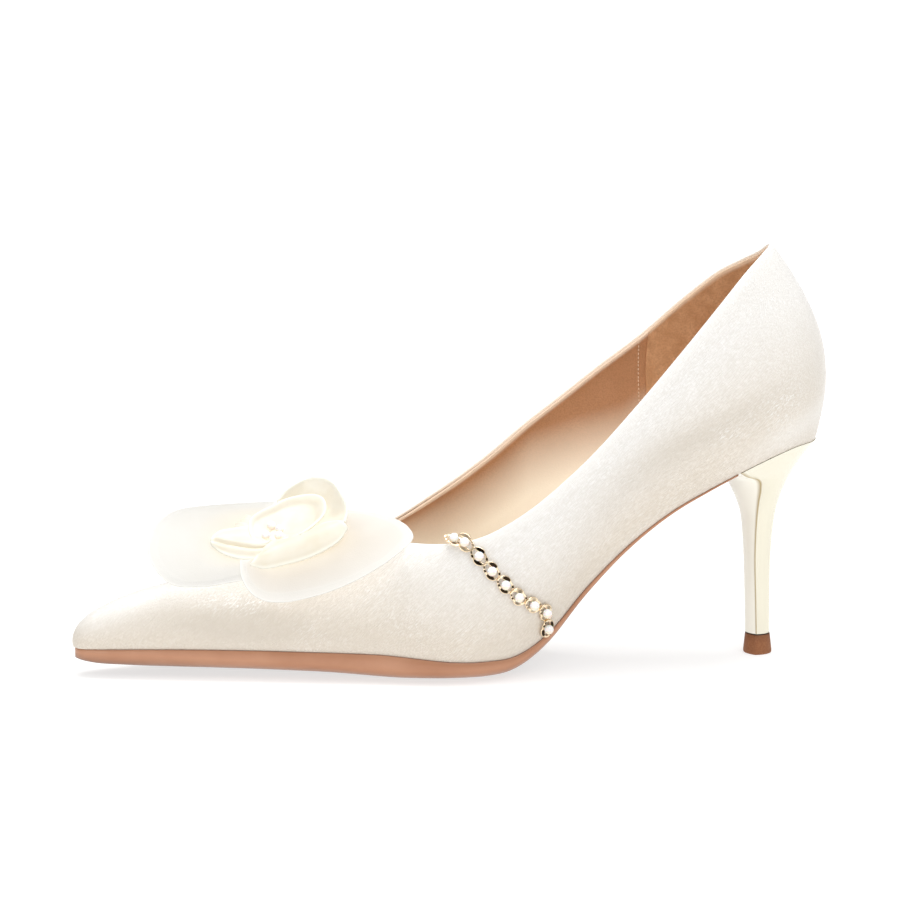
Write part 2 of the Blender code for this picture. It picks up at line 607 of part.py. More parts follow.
def build_chain():
    """The chain of oval links down the lateral side, a pearl seated in each link."""
    nudge = 0.02
    samples, tangent_reach = 240, 4

    def route(at):
        """Place on the upper's outer face along the chain, and its outward normal."""
        row = along([point.row for point in CHAIN], at)
        climb = along([point.climb for point in CHAIN], at)
        here = wall_point(row, LATERAL, climb)
        up = wall_point(row, LATERAL, climb + nudge) - wall_point(row, LATERAL, climb - nudge)
        ahead = wall_point(row + nudge, LATERAL, climb) - wall_point(row - nudge, LATERAL, climb)
        normal = up.cross(ahead).normalized()
        return here, normal if normal.y < 0 else -normal

    ats = [(len(CHAIN) - 1) * i / samples for i in range(samples + 1)]
    spots = [route(at)[0] for at in ats]
    lengths = [0.0]
    for a, b in zip(spots, spots[1:]):
        lengths.append(lengths[-1] + (b - a).length)
    pitch = lengths[-1] / (LINK_COUNT - 1)
    height = SEAT_GAP + LINK_WIRE_RADIUS
    side_reach = LINK_WIDTH / 2 - LINK_WIRE_RADIUS
    seat = math.sqrt((CHAIN_PEARL_RADIUS + LINK_WIRE_RADIUS + MEETING_GAP) ** 2 - side_reach**2)
    for number in range(1, LINK_COUNT + 1):
        index = min(range(samples + 1), key=lambda i: abs(lengths[i] - pitch * (number - 1)))
        here, normal = route(ats[index])
        ahead = spots[min(index + tangent_reach, samples)] - spots[max(index - tangent_reach, 0)]
        ahead = (ahead - normal * ahead.dot(normal)).normalized()
        add_link(f"chain_link_{number}", here + normal * height, ahead, normal, pitch - MEETING_GAP)
        add_pearl(f"chain_pearl_{number}", place(*(here + normal * (height + seat))),
                  CHAIN_PEARL_RADIUS)


build_upper()
build_outsole()
build_insole()
build_heel()
build_top_lift()
build_flower()
build_chain()
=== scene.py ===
import math
from collections import namedtuple

import bpy
import numpy as np
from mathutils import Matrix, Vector
from mathutils.kdtree import KDTree


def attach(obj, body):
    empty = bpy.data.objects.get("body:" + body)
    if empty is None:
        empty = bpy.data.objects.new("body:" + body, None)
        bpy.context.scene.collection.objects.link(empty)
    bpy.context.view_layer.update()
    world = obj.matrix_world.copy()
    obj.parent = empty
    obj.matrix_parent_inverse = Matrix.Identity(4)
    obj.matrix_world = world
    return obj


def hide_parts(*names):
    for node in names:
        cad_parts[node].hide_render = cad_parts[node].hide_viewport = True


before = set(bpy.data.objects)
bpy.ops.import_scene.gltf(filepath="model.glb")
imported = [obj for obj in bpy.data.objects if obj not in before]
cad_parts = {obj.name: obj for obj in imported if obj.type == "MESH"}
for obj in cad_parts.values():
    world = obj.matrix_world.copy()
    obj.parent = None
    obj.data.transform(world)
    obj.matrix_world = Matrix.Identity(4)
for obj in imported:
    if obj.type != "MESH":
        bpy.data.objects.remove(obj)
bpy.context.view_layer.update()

# The viewpoint. A long lens stands off the shoe's outer side, a little towards the toe and above it,
# so the near side shows almost flat and the far topline shows across the opening.
LENS = 114.0
SENSOR_WIDTH = 36.0
CAMERA_AWAY = 0.9
CAMERA_TURN = math.radians(8.0)
CAMERA_LIFT = math.radians(10.5)
CAMERA_AIM = Vector((0.0, 0.0, 0.055))
CAMERA_SHIFT = (-0.00095, 0.0473)

scene = bpy.context.scene
camera = bpy.data.objects.new("camera", bpy.data.cameras.new("camera"))
camera.data.lens = LENS
camera.data.sensor_width = SENSOR_WIDTH
camera.data.shift_x, camera.data.shift_y = CAMERA_SHIFT
camera_back = Vector((-math.sin(CAMERA_TURN) * math.cos(CAMERA_LIFT),
                      -math.cos(CAMERA_TURN) * math.cos(CAMERA_LIFT), math.sin(CAMERA_LIFT)))
camera.location = CAMERA_AIM + camera_back * CAMERA_AWAY
camera.rotation_euler = camera_back.to_track_quat("Z", "Y").to_euler()
scene.collection.objects.link(camera)
scene.camera = camera

# The studio. The shoe stands on a wide white floor that is lit to full white away from it. A soft box
# hangs over it, a weaker one stands high in front and a faint one low beside the toe; the room is dim.
FLOOR_HALF = 30.0
FLOOR_GREY, FLOOR_ROUGHNESS = 0.40, 0.9
FLOOR_GLOW_NEAR, FLOOR_GLOW_FAR = 0.68, 0.9
FLOOR_GLOW_FROM, FLOOR_GLOW_TO = 0.25, 1.1
ROOM_LOW, ROOM_HIGH, ROOM_HIGH_AT = 0.30, 0.56, 0.8
ROOM_COLOUR = (1.0, 0.97, 0.93)
SoftBox = namedtuple("SoftBox", "name place aim size power colour")
SOFT_BOXES = [
    SoftBox("soft_box_top", (0.05, 0.10, 1.15), (0.0, 0.0, 0.05), (1.0, 0.8), 13.0, (0.97, 0.99, 1.0)),
    SoftBox("soft_box_front", (0.36, -0.88, 1.02), (0.0, 0.0, 0.05), (0.7, 0.6), 4.9, (0.93, 0.97, 1.0)),
    SoftBox("soft_box_side", (-0.66, -0.74, 0.17), (0.1, 0.0, 0.04), (0.5, 0.3), 1.2, (1.0, 0.98, 0.95)),
]


def new_material(name, colour, roughness, metallic=0.0):
    """A Principled material, with its node tree and shader."""
    material = bpy.data.materials.new(name)
    material.use_nodes = True
    shader = material.node_tree.nodes["Principled BSDF"]
    shader.inputs["Base Color"].default_value = (*colour, 1.0)
    shader.inputs["Roughness"].default_value = roughness
    shader.inputs["Metallic"].default_value = metallic
    return material, material.node_tree, shader


def add_node(tree, kind, inputs=None, **settings):
    """A shader node with its settings, socket values and links."""
    made = tree.nodes.new(kind)
    for key, value in settings.items():
        setattr(made, key, value)
    for key, value in (inputs or {}).items():
        if isinstance(value, bpy.types.NodeSocket):
            tree.links.new(value, made.inputs[key])
        else:
            made.inputs[key].default_value = value
    return made


def ranged(tree, value, start, end, low, high):
    """A value brought from one range to another, and held at its ends."""
    return add_node(tree, "ShaderNodeMapRange", {0: value, 1: start, 2: end, 3: low, 4: high}).outputs[0]


def connect(tree, value, shader, socket):
    """Link a value to one of the shader's sockets."""
    tree.links.new(value, shader.inputs[socket])


floor_corners = [(x * FLOOR_HALF, y * FLOOR_HALF, 0.0) for x, y in ((-1, -1), (1, -1), (1, 1), (-1, 1))]
floor_mesh = bpy.data.meshes.new("floor")
floor_mesh.from_pydata(floor_corners, [], [(0, 1, 2, 3)])
white_floor, tree, shader = new_material("white_floor", (FLOOR_GREY,) * 3, FLOOR_ROUGHNESS)
place = add_node(tree, "ShaderNodeTexCoord").outputs["Object"]
away = add_node(tree, "ShaderNodeVectorMath", {0: place}, operation="LENGTH").outputs["Value"]
glow = ranged(tree, away, FLOOR_GLOW_FROM, FLOOR_GLOW_TO, FLOOR_GLOW_NEAR, FLOOR_GLOW_FAR)
shader.inputs["Emission Color"].default_value = (1.0, 1.0, 1.0, 1.0)
connect(tree, glow, shader, "Emission Strength")
floor_mesh.materials.append(white_floor)
floor = bpy.data.objects.new("floor", floor_mesh)
scene.collection.objects.link(floor)

for box in SOFT_BOXES:
    light = bpy.data.lights.new(box.name, "AREA")
    light.shape = "RECTANGLE"
    light.size, light.size_y = box.size
    light.energy = box.power
    light.color = box.colour
    lamp = bpy.data.objects.new(box.name, light)
    lamp.location = box.place
    lamp.rotation_euler = (Vector(box.place) - Vector(box.aim)).to_track_quat("Z", "Y").to_euler()
    scene.collection.objects.link(lamp)
world = bpy.data.worlds.new("studio")
world.use_nodes = True
room = world.node_tree.nodes["Background"]
room.inputs["Color"].default_value = (*ROOM_COLOUR, 1.0)
place = add_node(world.node_tree, "ShaderNodeTexCoord").outputs["Generated"]
upward = add_node(world.node_tree, "ShaderNodeSeparateXYZ", {0: place}).outputs[2]
strength = ranged(world.node_tree, upward, 0.0, ROOM_HIGH_AT, ROOM_LOW, ROOM_HIGH)
connect(world.node_tree, strength, room, "Strength")
scene.world = world
scene.view_settings.view_transform = "Standard"

# The satin upper. Ivory slub satin is lasted over the foot form in one wall and turned under at the
# feather edge, where the sole is stuck on. Its topline edge is folded in over the lining.
# s runs from the back of the heel to the toe, in millimetres; feather rows count along it.
MM = 0.001
SHOE_LENGTH = 240.0
Foot = namedtuple("Foot", "s lateral medial height sole_drop")
FOOT = [
    Foot(3.0, 0.0, 0.0, 70.8, 1.1),
    Foot(6.0, 11.8, 11.8, 70.9, 1.1),
    Foot(14.5, 20.0, 20.0, 70.2, 1.1),
    Foot(27.0, 23.4, 23.4, 65.7, 1.1),
    Foot(41.0, 22.4, 21.5, 58.5, 1.6),
    Foot(54.0, 20.7, 18.4, 50.7, 2.2),
    Foot(67.0, 19.6, 16.0, 40.3, 3.0),
    Foot(80.0, 20.3, 16.0, 27.6, 4.2),
    Foot(92.0, 23.4, 18.8, 14.7, 5.4),
    Foot(103.0, 27.0, 23.0, 8.2, 6.6),
    Foot(114.0, 29.8, 27.6, 7.2, 7.2),
    Foot(124.0, 30.4, 31.0, 7.5, 7.5),
    Foot(132.0, 29.3, 33.0, 8.3, 8.3),
    Foot(139.0, 27.6, 34.1, 9.0, 9.0),
    Foot(146.0, 25.7, 34.2, 9.5, 9.2),
    Foot(158.0, 23.0, 32.4, 9.8, 8.7),
    Foot(170.0, 20.2, 28.9, 9.9, 8.3),
    Foot(182.0, 17.4, 24.4, 10.0, 7.9),
    Foot(194.0, 14.7, 19.6, 10.0, 7.5),
    Foot(206.0, 12.0, 15.0, 9.9, 7.0),
    Foot(217.0, 9.5, 11.1, 9.7, 6.4),
    Foot(225.0, 7.6, 8.4, 9.5, 5.8),
    Foot(232.0, 5.8, 6.1, 9.3, 5.1),
    Foot(237.2, 3.7, 3.8, 9.2, 4.0),
    Foot(239.4, 0.0, 0.0, 9.2, 2.9),
]
Collar = namedtuple("Collar", "lat_s lat_y lat_z med_s med_y med_z turn rise rise_pull lean lean_pull")
COLLAR = [
    Collar(18.6, 0.0, 132.6, 18.6, 0.0, 132.6, 90, 75, 0.32, 130, 0.54),
    Collar(20.0, 7.8, 132.9, 19.9, 8.0, 129.6, 66, 76, 0.31, 125, 0.52),
    Collar(24.6, 15.2, 130.3, 23.9, 15.6, 126.1, 39, 79, 0.30, 114, 0.48),
    Collar(32.2, 21.6, 124.2, 31.0, 21.8, 121.1, 12, 82, 0.30, 104, 0.44),
    Collar(42.5, 25.3, 113.0, 41.5, 25.4, 112.2, 4, 83, 0.30, 98, 0.40),
    Collar(54.5, 27.6, 99.4, 54.0, 27.8, 101.0, 0, 82, 0.30, 96, 0.36),
    Collar(67.0, 29.2, 85.4, 67.0, 29.0, 91.2, 0, 80, 0.30, 95, 0.34),
    Collar(80.0, 30.2, 71.6, 80.0, 29.6, 81.1, 0, 77, 0.30, 95, 0.33),
    Collar(92.0, 30.6, 60.7, 92.0, 30.0, 71.9, 0, 75, 0.30, 95, 0.33),
    Collar(103.0, 30.2, 52.4, 103.0, 30.0, 62.9, 0, 75, 0.32, 98, 0.33),
    Collar(115.0, 28.8, 46.1, 114.0, 29.5, 55.1, 0, 76, 0.34, 107, 0.34),
    Collar(126.5, 25.2, 43.9, 124.5, 28.0, 48.9, 0, 76, 0.36, 125, 0.36),
    Collar(135.8, 18.8, 43.4, 133.5, 22.5, 44.8, 0, 76, 0.36, 148, 0.38),
    Collar(142.6, 10.4, 42.8, 141.5, 12.6, 42.9, 0, 76, 0.36, 167, 0.40),
    Collar(146.0, 0.0, 42.3, 146.0, 0.0, 42.3, 0, 76, 0.36, 180, 0.42),
]
RIDGE_HEIGHT = [42.3, 40.0, 37.4, 34.7, 32.0, 29.3, 26.7, 24.0, 20.7]
TOE_RIDGE_FALL = 0.55
VAMP_RISE = 76.0
VAMP_RISE_PULL = 0.36
VAMP_LEAN_PULL = 0.42
MEDIAL, LATERAL = 1, -1

# Creases in the satin: side, middle, heading up from the toe's direction, half length, half width, depth
Crease = namedtuple("Crease", "side s z heading length width depth")
CREASES = [
    Crease(LATERAL, 60.0, 66.0, 128.0, 22.0, 6.0, 0.45),
    Crease(LATERAL, 72.0, 52.0, 135.0, 16.0, 4.0, 0.30),
    Crease(LATERAL, 88.0, 36.0, 118.0, 9.0, 2.5, 0.25),
    Crease(LATERAL, 30.0, 82.0, 100.0, 9.0, 1.8, 0.16),
    Crease(LATERAL, 21.0, 84.0, 78.0, 7.0, 1.4, 0.14),
    Crease(LATERAL, 212.5, 19.8, 129.0, 4.0, 1.1, 0.16),
    Crease(LATERAL, 214.0, 13.5, 40.0, 4.0, 0.8, 0.12),
    Crease(MEDIAL, 62.0, 62.0, 130.0, 20.0, 6.0, 0.45),
    Crease(MEDIAL, 84.0, 40.0, 122.0, 12.0, 4.0, 0.35),
    Crease(MEDIAL, 206.0, 15.0, 35.0, 5.0, 1.0, 0.14),
]
# Zones of painted shade, painted highlight and painted glints where slubs catch light, each with its amount
Zone = namedtuple("Zone", "side s z heading length width amount")
PAINTED_SHADE_ZONES = [
    Zone(LATERAL, 44.0, 76.0, 155.0, 32.0, 5.5, 0.85),
    Zone(LATERAL, 188.0, 18.5, 2.0, 22.0, 5.0, 1.0),
    Zone(LATERAL, 176.0, 16.0, 2.0, 60.0, 8.0, 0.45),
    Zone(LATERAL, 132.0, 34.0, 160.0, 16.0, 7.0, 0.3),
    Zone(LATERAL, 66.0, 60.0, 150.0, 22.0, 7.0, 0.2),
    Zone(MEDIAL, 44.0, 76.0, 155.0, 32.0, 5.5, 0.7),
    Zone(MEDIAL, 168.0, 17.0, 5.0, 34.0, 6.0, 0.5),
]
PAINTED_HIGHLIGHT_ZONES = [
    Zone(LATERAL, 223.0, 22.5, 154.0, 14.0, 2.6, 0.45),
    Zone(LATERAL, 12.0, 77.0, 155.0, 20.0, 4.5, 0.6),
    Zone(MEDIAL, 223.0, 22.5, 154.0, 14.0, 2.6, 0.45),
    Zone(MEDIAL, 12.0, 77.0, 155.0, 20.0, 4.5, 0.5),
]
# A painted highlight along the topline, and the width it fades over
EDGE_PAINTED_HIGHLIGHT, EDGE_PAINTED_HIGHLIGHT_WIDTH = 0.9, 2.4
GLINT_ZONES = [
    Zone(LATERAL, 192.0, 25.6, 6.0, 13.0, 3.4, 1.0),
    Zone(LATERAL, 21.0, 85.0, 150.0, 10.0, 5.0, 0.55),
    Zone(LATERAL, 35.0, 76.0, 150.0, 6.0, 3.0, 0.5),
    Zone(LATERAL, 146.0, 30.0, 150.0, 15.0, 4.5, 0.4),
    Zone(MEDIAL, 190.0, 26.0, 6.0, 13.0, 3.4, 0.8),
    Zone(MEDIAL, 24.0, 84.0, 150.0, 12.0, 5.0, 0.45),
]
CREASE_SHOULDER, CREASE_SHOULDER_AT = 0.45, 1.7
UPPER_CUTS = 8
UPPER_CLIMBS = 1.0 - (1.0 - np.linspace(0.0, 1.0, 41)) ** 1.4
EASE_ROWS, EASE_TOP, EASE_FOOT, EASE_STEPS = 1.8, 0.22, 0.2, 90
SATIN_DEPTH = 1.3
FOLD_RADIUS = 0.65
FOLD_REACH = 5.0
FEATHER_ROUND = 0.25
EDGE_CUTS = 8
SATIN_TURN = math.radians(-43.0)
THREAD, CROSS_THREAD, SLUB = (2.0, 0.28, 0.28), (0.28, 0.28, 2.0), (1.7, 0.28, 0.28)
GLINT_PATCH, TONE_PATCH = 16.0, 34.0
# Thread tones at the feather edge and at the top: painted paler and whiter at the top, as light from above
# falls
LIGHT_AT_SOLE, LIGHT_AT_TOP = (0.80, 0.725, 0.63), (0.925, 0.905, 0.885)
SHADE_AT_SOLE, SHADE_AT_TOP = (0.68, 0.60, 0.50), (0.80, 0.77, 0.73)
# Colours of painted shade, painted highlight and painted glints on the slubs
PAINTED_SHADE_SATIN, PAINTED_HIGHLIGHT_SATIN, PAINTED_SLUB_GLINT = (0.60, 0.535, 0.45), (0.95, 0.935, 0.905), (0.98, 0.97, 0.95)
# A painted reflection of the tan lining inside the fold, and a thin dark line of painted shade under it
PAINTED_LINING_REFLECTION, PAINTED_SHADE_UNDER_FOLD = (0.86, 0.69, 0.53), (0.10, 0.04, 0.016)


def spline(before, start, end, after, f):
    """Smooth curve from start to end that heads past both neighbours."""
    leave = (end - before) / 2
    arrive = (after - start) / 2
    return ((2 * f**3 - 3 * f**2 + 1) * start + (f**3 - 2 * f**2 + f) * leave
            + (3 * f**2 - 2 * f**3) * end + (f**3 - f**2) * arrive)


def along(values, at):
    """Smooth curve through a row of values, read at a place counted in rows."""
    last = len(values) - 1
    i = min(int(at), last - 1)
    before = values[i - 1] if i > 0 else 2 * values[0] - values[1]
    after = values[i + 2] if i + 2 <= last else 2 * values[last] - values[last - 1]
    return spline(before, values[i], values[i + 1], after, at - i)


def around(values, at):
    """Smooth closed curve through a ring of values, read at a place counted in rows."""
    i = math.floor(at)
    before, start, end, after = (values[(i + step) % len(values)] for step in (-1, 0, 1, 2))
    return spline(before, start, end, after, at - i)


def ring(medial, lateral):
    """A closed ring of values: back to front on the medial side, then back on the lateral."""
    return list(medial) + list(lateral)[-2:0:-1]


THROAT_ROW = len(COLLAR) - 1
TOE_ROW = THROAT_ROW + len(RIDGE_HEIGHT) - 1
TIP_ROW = len(FOOT) - 1
FOOT_S = ring([row.s for row in FOOT], [row.s for row in FOOT])
FOOT_Y = ring([row.medial for row in FOOT], [-row.lateral for row in FOOT])
FOOT_Z = ring([row.height for row in FOOT], [row.height for row in FOOT])
TOP_S = ring([row.med_s for row in COLLAR], [row.lat_s for row in COLLAR])
TOP_Y = ring([row.med_y for row in COLLAR], [-row.lat_y for row in COLLAR])
TOP_Z = ring([row.med_z for row in COLLAR], [row.lat_z for row in COLLAR])


def row_at(s):
    """The place in the feather rows that lies at s along the shoe."""
    low, high = 0.0, float(TIP_ROW)
    for halving in range(40):
        middle = (low + high) / 2
        if around(FOOT_S, middle) < s:
            low = middle
        else:
            high = middle
    return low


def foot_point(row, side, out=0.0):
    """Feather edge at a row, moved out from the outline by a distance in millimetres."""
    at = row * side
    s, y = around(FOOT_S, at), around(FOOT_Y, at)
    if out:
        step = 0.05
        ds = around(FOOT_S, at + step) - around(FOOT_S, at - step)
        dy = around(FOOT_Y, at + step) - around(FOOT_Y, at - step)
        s -= out * dy / math.hypot(ds, dy)
        y += out * ds / math.hypot(ds, dy)
    return s, y, around(FOOT_Z, row_at(s))


def wall_line(row, side, climbs):
    """Outer face of the upper at a row: climb runs from the feather edge (0) to the topline (1)."""
    foot = np.array(foot_point(row, side))
    if row <= THROAT_ROW:
        top = np.array([around(values, row * side) for values in (TOP_S, TOP_Y, TOP_Z)])
        turn, rise, rise_pull, lean, lean_pull = (
            along([getattr(line, name) for line in COLLAR + COLLAR[-2:-1]], row)
            for name in ("turn", "rise", "rise_pull", "lean", "lean_pull"))
    else:
        ridge = min(row, TOE_ROW)
        top = np.array((along([line.s for line in FOOT[THROAT_ROW:TOE_ROW + 1]], ridge - THROAT_ROW),
                        0.0, along(RIDGE_HEIGHT, ridge - THROAT_ROW)))
        turn = -90.0 * (row - ridge) / (TIP_ROW - TOE_ROW)
        rise, rise_pull, lean_pull = VAMP_RISE, VAMP_RISE_PULL, VAMP_LEAN_PULL
        lean = 180.0 - math.degrees(math.atan(TOE_RIDGE_FALL * -math.sin(math.radians(turn))))
    out = np.array((-math.sin(math.radians(turn)), side * math.cos(math.radians(turn)), 0.0))
    up = np.array((0.0, 0.0, 1.0))
    rise, lean = math.radians(rise), math.radians(lean)
    span = np.linalg.norm(top - foot)
    first = foot + (out * math.cos(rise) + up * math.sin(rise)) * span * rise_pull
    second = top - (out * math.cos(lean) + up * math.sin(lean)) * span * lean_pull
    climb = np.asarray(climbs, dtype=float)[:, None]
    rest = 1.0 - climb
    return foot * rest**3 + first * 3 * climb * rest**2 + second * 3 * climb**2 * rest + top * climb**3


def in_shoe(points):
    """Table points (s, y, z) as points of the shoe, in millimetres with its middle at x = 0."""
    points = np.asarray(points, dtype=float)
    return np.column_stack((SHOE_LENGTH / 2 - points[:, 0], points[:, 1], points[:, 2]))


def clamped(values):
    """Values held between 0 and 1."""
    return np.clip(values, 0.0, 1.0)


def unit(vectors):
    """Vectors brought to length one."""
    return vectors / np.maximum(np.linalg.norm(vectors, axis=-1, keepdims=True), 1e-9)


def smooth_normals(points, faces):
    """The outward direction at each point of a surface."""
    corners = np.array([(*face, face[-1])[:4] for face in faces])
    a, b, c, d = (points[corners[:, i]] for i in range(4))
    across = np.cross(c - a, d - b)
    total = np.zeros_like(points)
    for i in range(4):
        np.add.at(total, corners[:, i], across)
    return unit(total)


def add_piece(name, points, faces, material, marks=None):
    """A smooth piece that stays with the shoe, from points in millimetres. Marks are values at points."""
    mesh = bpy.data.meshes.new(name)
    mesh.from_pydata([tuple(point) for point in np.asarray(points) * MM], [], faces)
    mesh.shade_smooth()
    for mark, values in (marks or {}).items():
        layer = mesh.attributes.new(mark, "FLOAT", "POINT")
        layer.data.foreach_set("value", np.asarray(values, dtype=np.float32))
    mesh.materials.append(material)
    piece = bpy.data.objects.new(name, mesh)
    scene.collection.objects.link(piece)
    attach(piece, "root")
    return piece


def closed_shell(faces, outer, inner, swell, rounds, marks=None):
    """Points, faces and marks of a thin piece between two layers, its open edges rounded over.

    The mark "turned" runs from the outer layer (0) round the edge to the inner one (1).
    """
    used = sorted({corner for face in faces for corner in face})
    index = {corner: i for i, corner in enumerate(used)}
    count = len(used)
    swell = np.broadcast_to(swell, len(outer))[used]
    outer, inner = outer[used], inner[used]
    skin = [tuple(index[corner] for corner in face) for face in faces]
    owner = {}
    for face in skin:
        for a, b in zip(face, face[1:] + face[:1]):
            owner[a, b] = face
    rim = [edge for edge in owner if (edge[1], edge[0]) not in owner]
    outward = {}
    for a, b in rim:
        face = owner[a, b]
        normal = np.cross(outer[face[2]] - outer[face[0]], outer[face[-1]] - outer[face[1]])
        away = unit(np.cross(outer[b] - outer[a], normal))
        for corner in (a, b):
            outward[corner] = outward.get(corner, 0.0) + away
    points = [*outer, *inner]
    origin = list(range(count)) * 2
    turned = [0.0] * count + [1.0] * count
    steps = {}
    for corner, away in outward.items():
        middle, half = (outer[corner] + inner[corner]) / 2, (outer[corner] - inner[corner]) / 2
        line = [corner]
        for step in range(1, rounds):
            turn = math.pi * step / rounds
            line.append(len(points))
            points.append(middle + half * math.cos(turn) + unit(away) * swell[corner] * math.sin(turn))
            origin.append(corner)
            turned.append(step / rounds)
        steps[corner] = line + [corner + count]
    made = skin + [tuple(corner + count for corner in reversed(face)) for face in skin]
    for a, b in rim:
        for step in range(rounds):
            made.append((steps[b][step], steps[a][step], steps[a][step + 1], steps[b][step + 1]))
    origin = np.array(used)[origin]
    marks = {mark: np.asarray(values)[origin] for mark, values in (marks or {}).items()}
    return points, made, marks | {"turned": turned}


def grain(tree, sizes, turn=0.0, detail=2.0):
    """Soft noise with grains of one size or three, in millimetres, turned about the shoe's width."""
    scale = tuple(float(size) * MM for size in np.broadcast_to(sizes, 3))
    place = add_node(tree, "ShaderNodeTexCoord").outputs["Object"]
    laid = add_node(tree, "ShaderNodeMapping",
                    {"Vector": place, "Rotation": (0.0, turn, 0.0), "Scale": scale}, vector_type="TEXTURE")
    noise = add_node(tree, "ShaderNodeTexNoise", {"Vector": laid.outputs[0], "Scale": 1.0, "Detail": detail})
    return noise.outputs[0]


def mark_of(tree, name):
    """A value that was marked on the piece's points."""
    return add_node(tree, "ShaderNodeAttribute", attribute_name=name).outputs["Fac"]


def mixed(tree, share, low, high):
    """A colour between two colours."""
    low, high = (c if isinstance(c, bpy.types.NodeSocket) else (*c, 1.0) for c in (low, high))
    return add_node(tree, "ShaderNodeMix", {0: share, 6: low, 7: high}, data_type="RGBA").outputs[2]


def product(tree, first, second):
    """Two values multiplied, and held between 0 and 1."""
    made = add_node(tree, "ShaderNodeMath", {0: first, 1: second}, operation="MULTIPLY", use_clamp=True)
    return made.outputs[0]


def bumped(tree, height, depth, strength=1.0, under=None):
    """A bumped normal from a height, its depth in millimetres."""
    inputs = {"Height": height, "Distance": depth * MM, "Strength": strength}
    if under is not None:
        inputs["Normal"] = under
    return add_node(tree, "ShaderNodeBump", inputs).outputs[0]


columns = [(i / UPPER_CUTS, MEDIAL) for i in range(TIP_ROW * UPPER_CUTS + 1)]
columns += [(i / UPPER_CUTS, LATERAL) for i in range(TIP_ROW * UPPER_CUTS - 1, 0, -1)]
wall, wall_ids, ridge_ids = [], [], {}
for row, side in columns:
    line = list(wall_line(row, side, UPPER_CLIMBS))
    ids = list(range(len(wall), len(wall) + len(line)))
    if row >= THROAT_ROW:
        key = min(row, TOE_ROW)
        if key in ridge_ids:
            line.pop()
        ids[-1] = ridge_ids.setdefault(key, ids[-1])
    wall += line
    wall_ids.append(ids)
wall = in_shoe(wall)

# The satin is drawn smooth beside the throat, where the open quarters run into the closed vamp
skin = wall[np.array(wall_ids)]
rows_off = np.abs(np.array([row for row, side in columns]) - THROAT_ROW)
ease = clamped(1.0 - rows_off / EASE_ROWS)[:, None]
ease = ease * clamped((1.0 - UPPER_CLIMBS) / EASE_TOP) * clamped(UPPER_CLIMBS / EASE_FOOT)
for step in range(EASE_STEPS):
    skin += ease[:, :, None] * ((np.roll(skin, 1, axis=0) + np.roll(skin, -1, axis=0)) / 2 - skin) / 2
wall[np.array(wall_ids)] = skin


def wall_faces(strip):
    """Faces of the wall over neighbouring columns."""
    faces = []
    for here, after in strip:
        for a, b, c, d in zip(wall_ids[here], wall_ids[after], wall_ids[after][1:], wall_ids[here][1:]):
            faces.append(tuple(dict.fromkeys((a, b, c, d))))
    return faces


upper_faces = wall_faces([(i, (i + 1) % len(columns)) for i in range(len(columns))])
wall_out = smooth_normals(wall, upper_faces)
topline = list(dict.fromkeys(ids[-1] for ids, (row, side) in zip(wall_ids, columns) if row <= THROAT_ROW))
topline_run = unit(np.roll(wall[topline], -1, axis=0) - np.roll(wall[topline], 1, axis=0))
topline_up = unit(np.cross(wall_out[topline], topline_run))
edge_finder = KDTree(len(topline))
for i, corner in enumerate(topline):
    edge_finder.insert(wall[corner], i)
edge_finder.balance()
nearest = [edge_finder.find(point) for point in wall]
edge_up = topline_up[[found[1] for found in nearest]]
edge_away = np.array([found[2] for found in nearest])


def drawn_down(amount, reach):
    """The move that draws a layer down from the topline, fading out over a reach."""
    return -edge_up * (amount * clamped(1.0 - edge_away / reach))[:, None]


def laid_on(points, place):
    """How far points lie along and across a crease or zone, in its half sizes, and whether on its side."""
    turn = math.radians(place.heading)
    ds, dz = SHOE_LENGTH / 2 - points[:, 0] - place.s, points[:, 2] - place.z
    lengthwise = (ds * math.cos(turn) + dz * math.sin(turn)) / place.length
    across = (-ds * math.sin(turn) + dz * math.cos(turn)) / place.width
    return lengthwise, across, points[:, 1] * place.side > 0


def crease_depth(points):
    """How deep the creases press into the wall."""
    depth = np.zeros(len(points))
    for crease in CREASES:
        lengthwise, across, beside = laid_on(points, crease)
        trough = np.exp(-across**2) - CREASE_SHOULDER * np.exp(-(np.abs(across) - CREASE_SHOULDER_AT) ** 2)
        depth += beside * crease.depth * trough * np.exp(-lengthwise**2)
    return depth


def zone_amount(points, zones):
    """How strongly soft zones mark the wall."""
    amount = np.zeros(len(points))
    for zone in zones:
        lengthwise, across, beside = laid_on(points, zone)
        amount += beside * zone.amount * np.exp(-lengthwise**2 - across**2)
    return amount


fold = drawn_down(FOLD_RADIUS, FOLD_REACH)
satin_outer = wall + fold - wall_out * crease_depth(wall)[:, None]
satin_depth = SATIN_DEPTH + (2 * FOLD_RADIUS - SATIN_DEPTH) * clamped(1.0 - edge_away / FOLD_REACH)
satin_swell = np.full(len(wall), FEATHER_ROUND)
satin_swell[topline] = FOLD_RADIUS
wall_climb = np.zeros(len(wall))
for ids in wall_ids:
    wall_climb[ids] = UPPER_CLIMBS
# Painted highlight, in its zones and along the topline
bright = zone_amount(wall, PAINTED_HIGHLIGHT_ZONES) + EDGE_PAINTED_HIGHLIGHT * np.exp(-(edge_away / EDGE_PAINTED_HIGHLIGHT_WIDTH) ** 2)
satin_inner = wall + fold - wall_out * satin_depth[:, None]
satin_marks = {"climb": wall_climb, "dull": zone_amount(wall, PAINTED_SHADE_ZONES), "bright": bright,
               "glint": zone_amount(wall, GLINT_ZONES), "away": np.minimum(edge_away, FOLD_REACH)}
points, faces, marks = closed_shell(upper_faces, satin_outer, satin_inner, satin_swell, EDGE_CUTS,
                                    satin_marks)

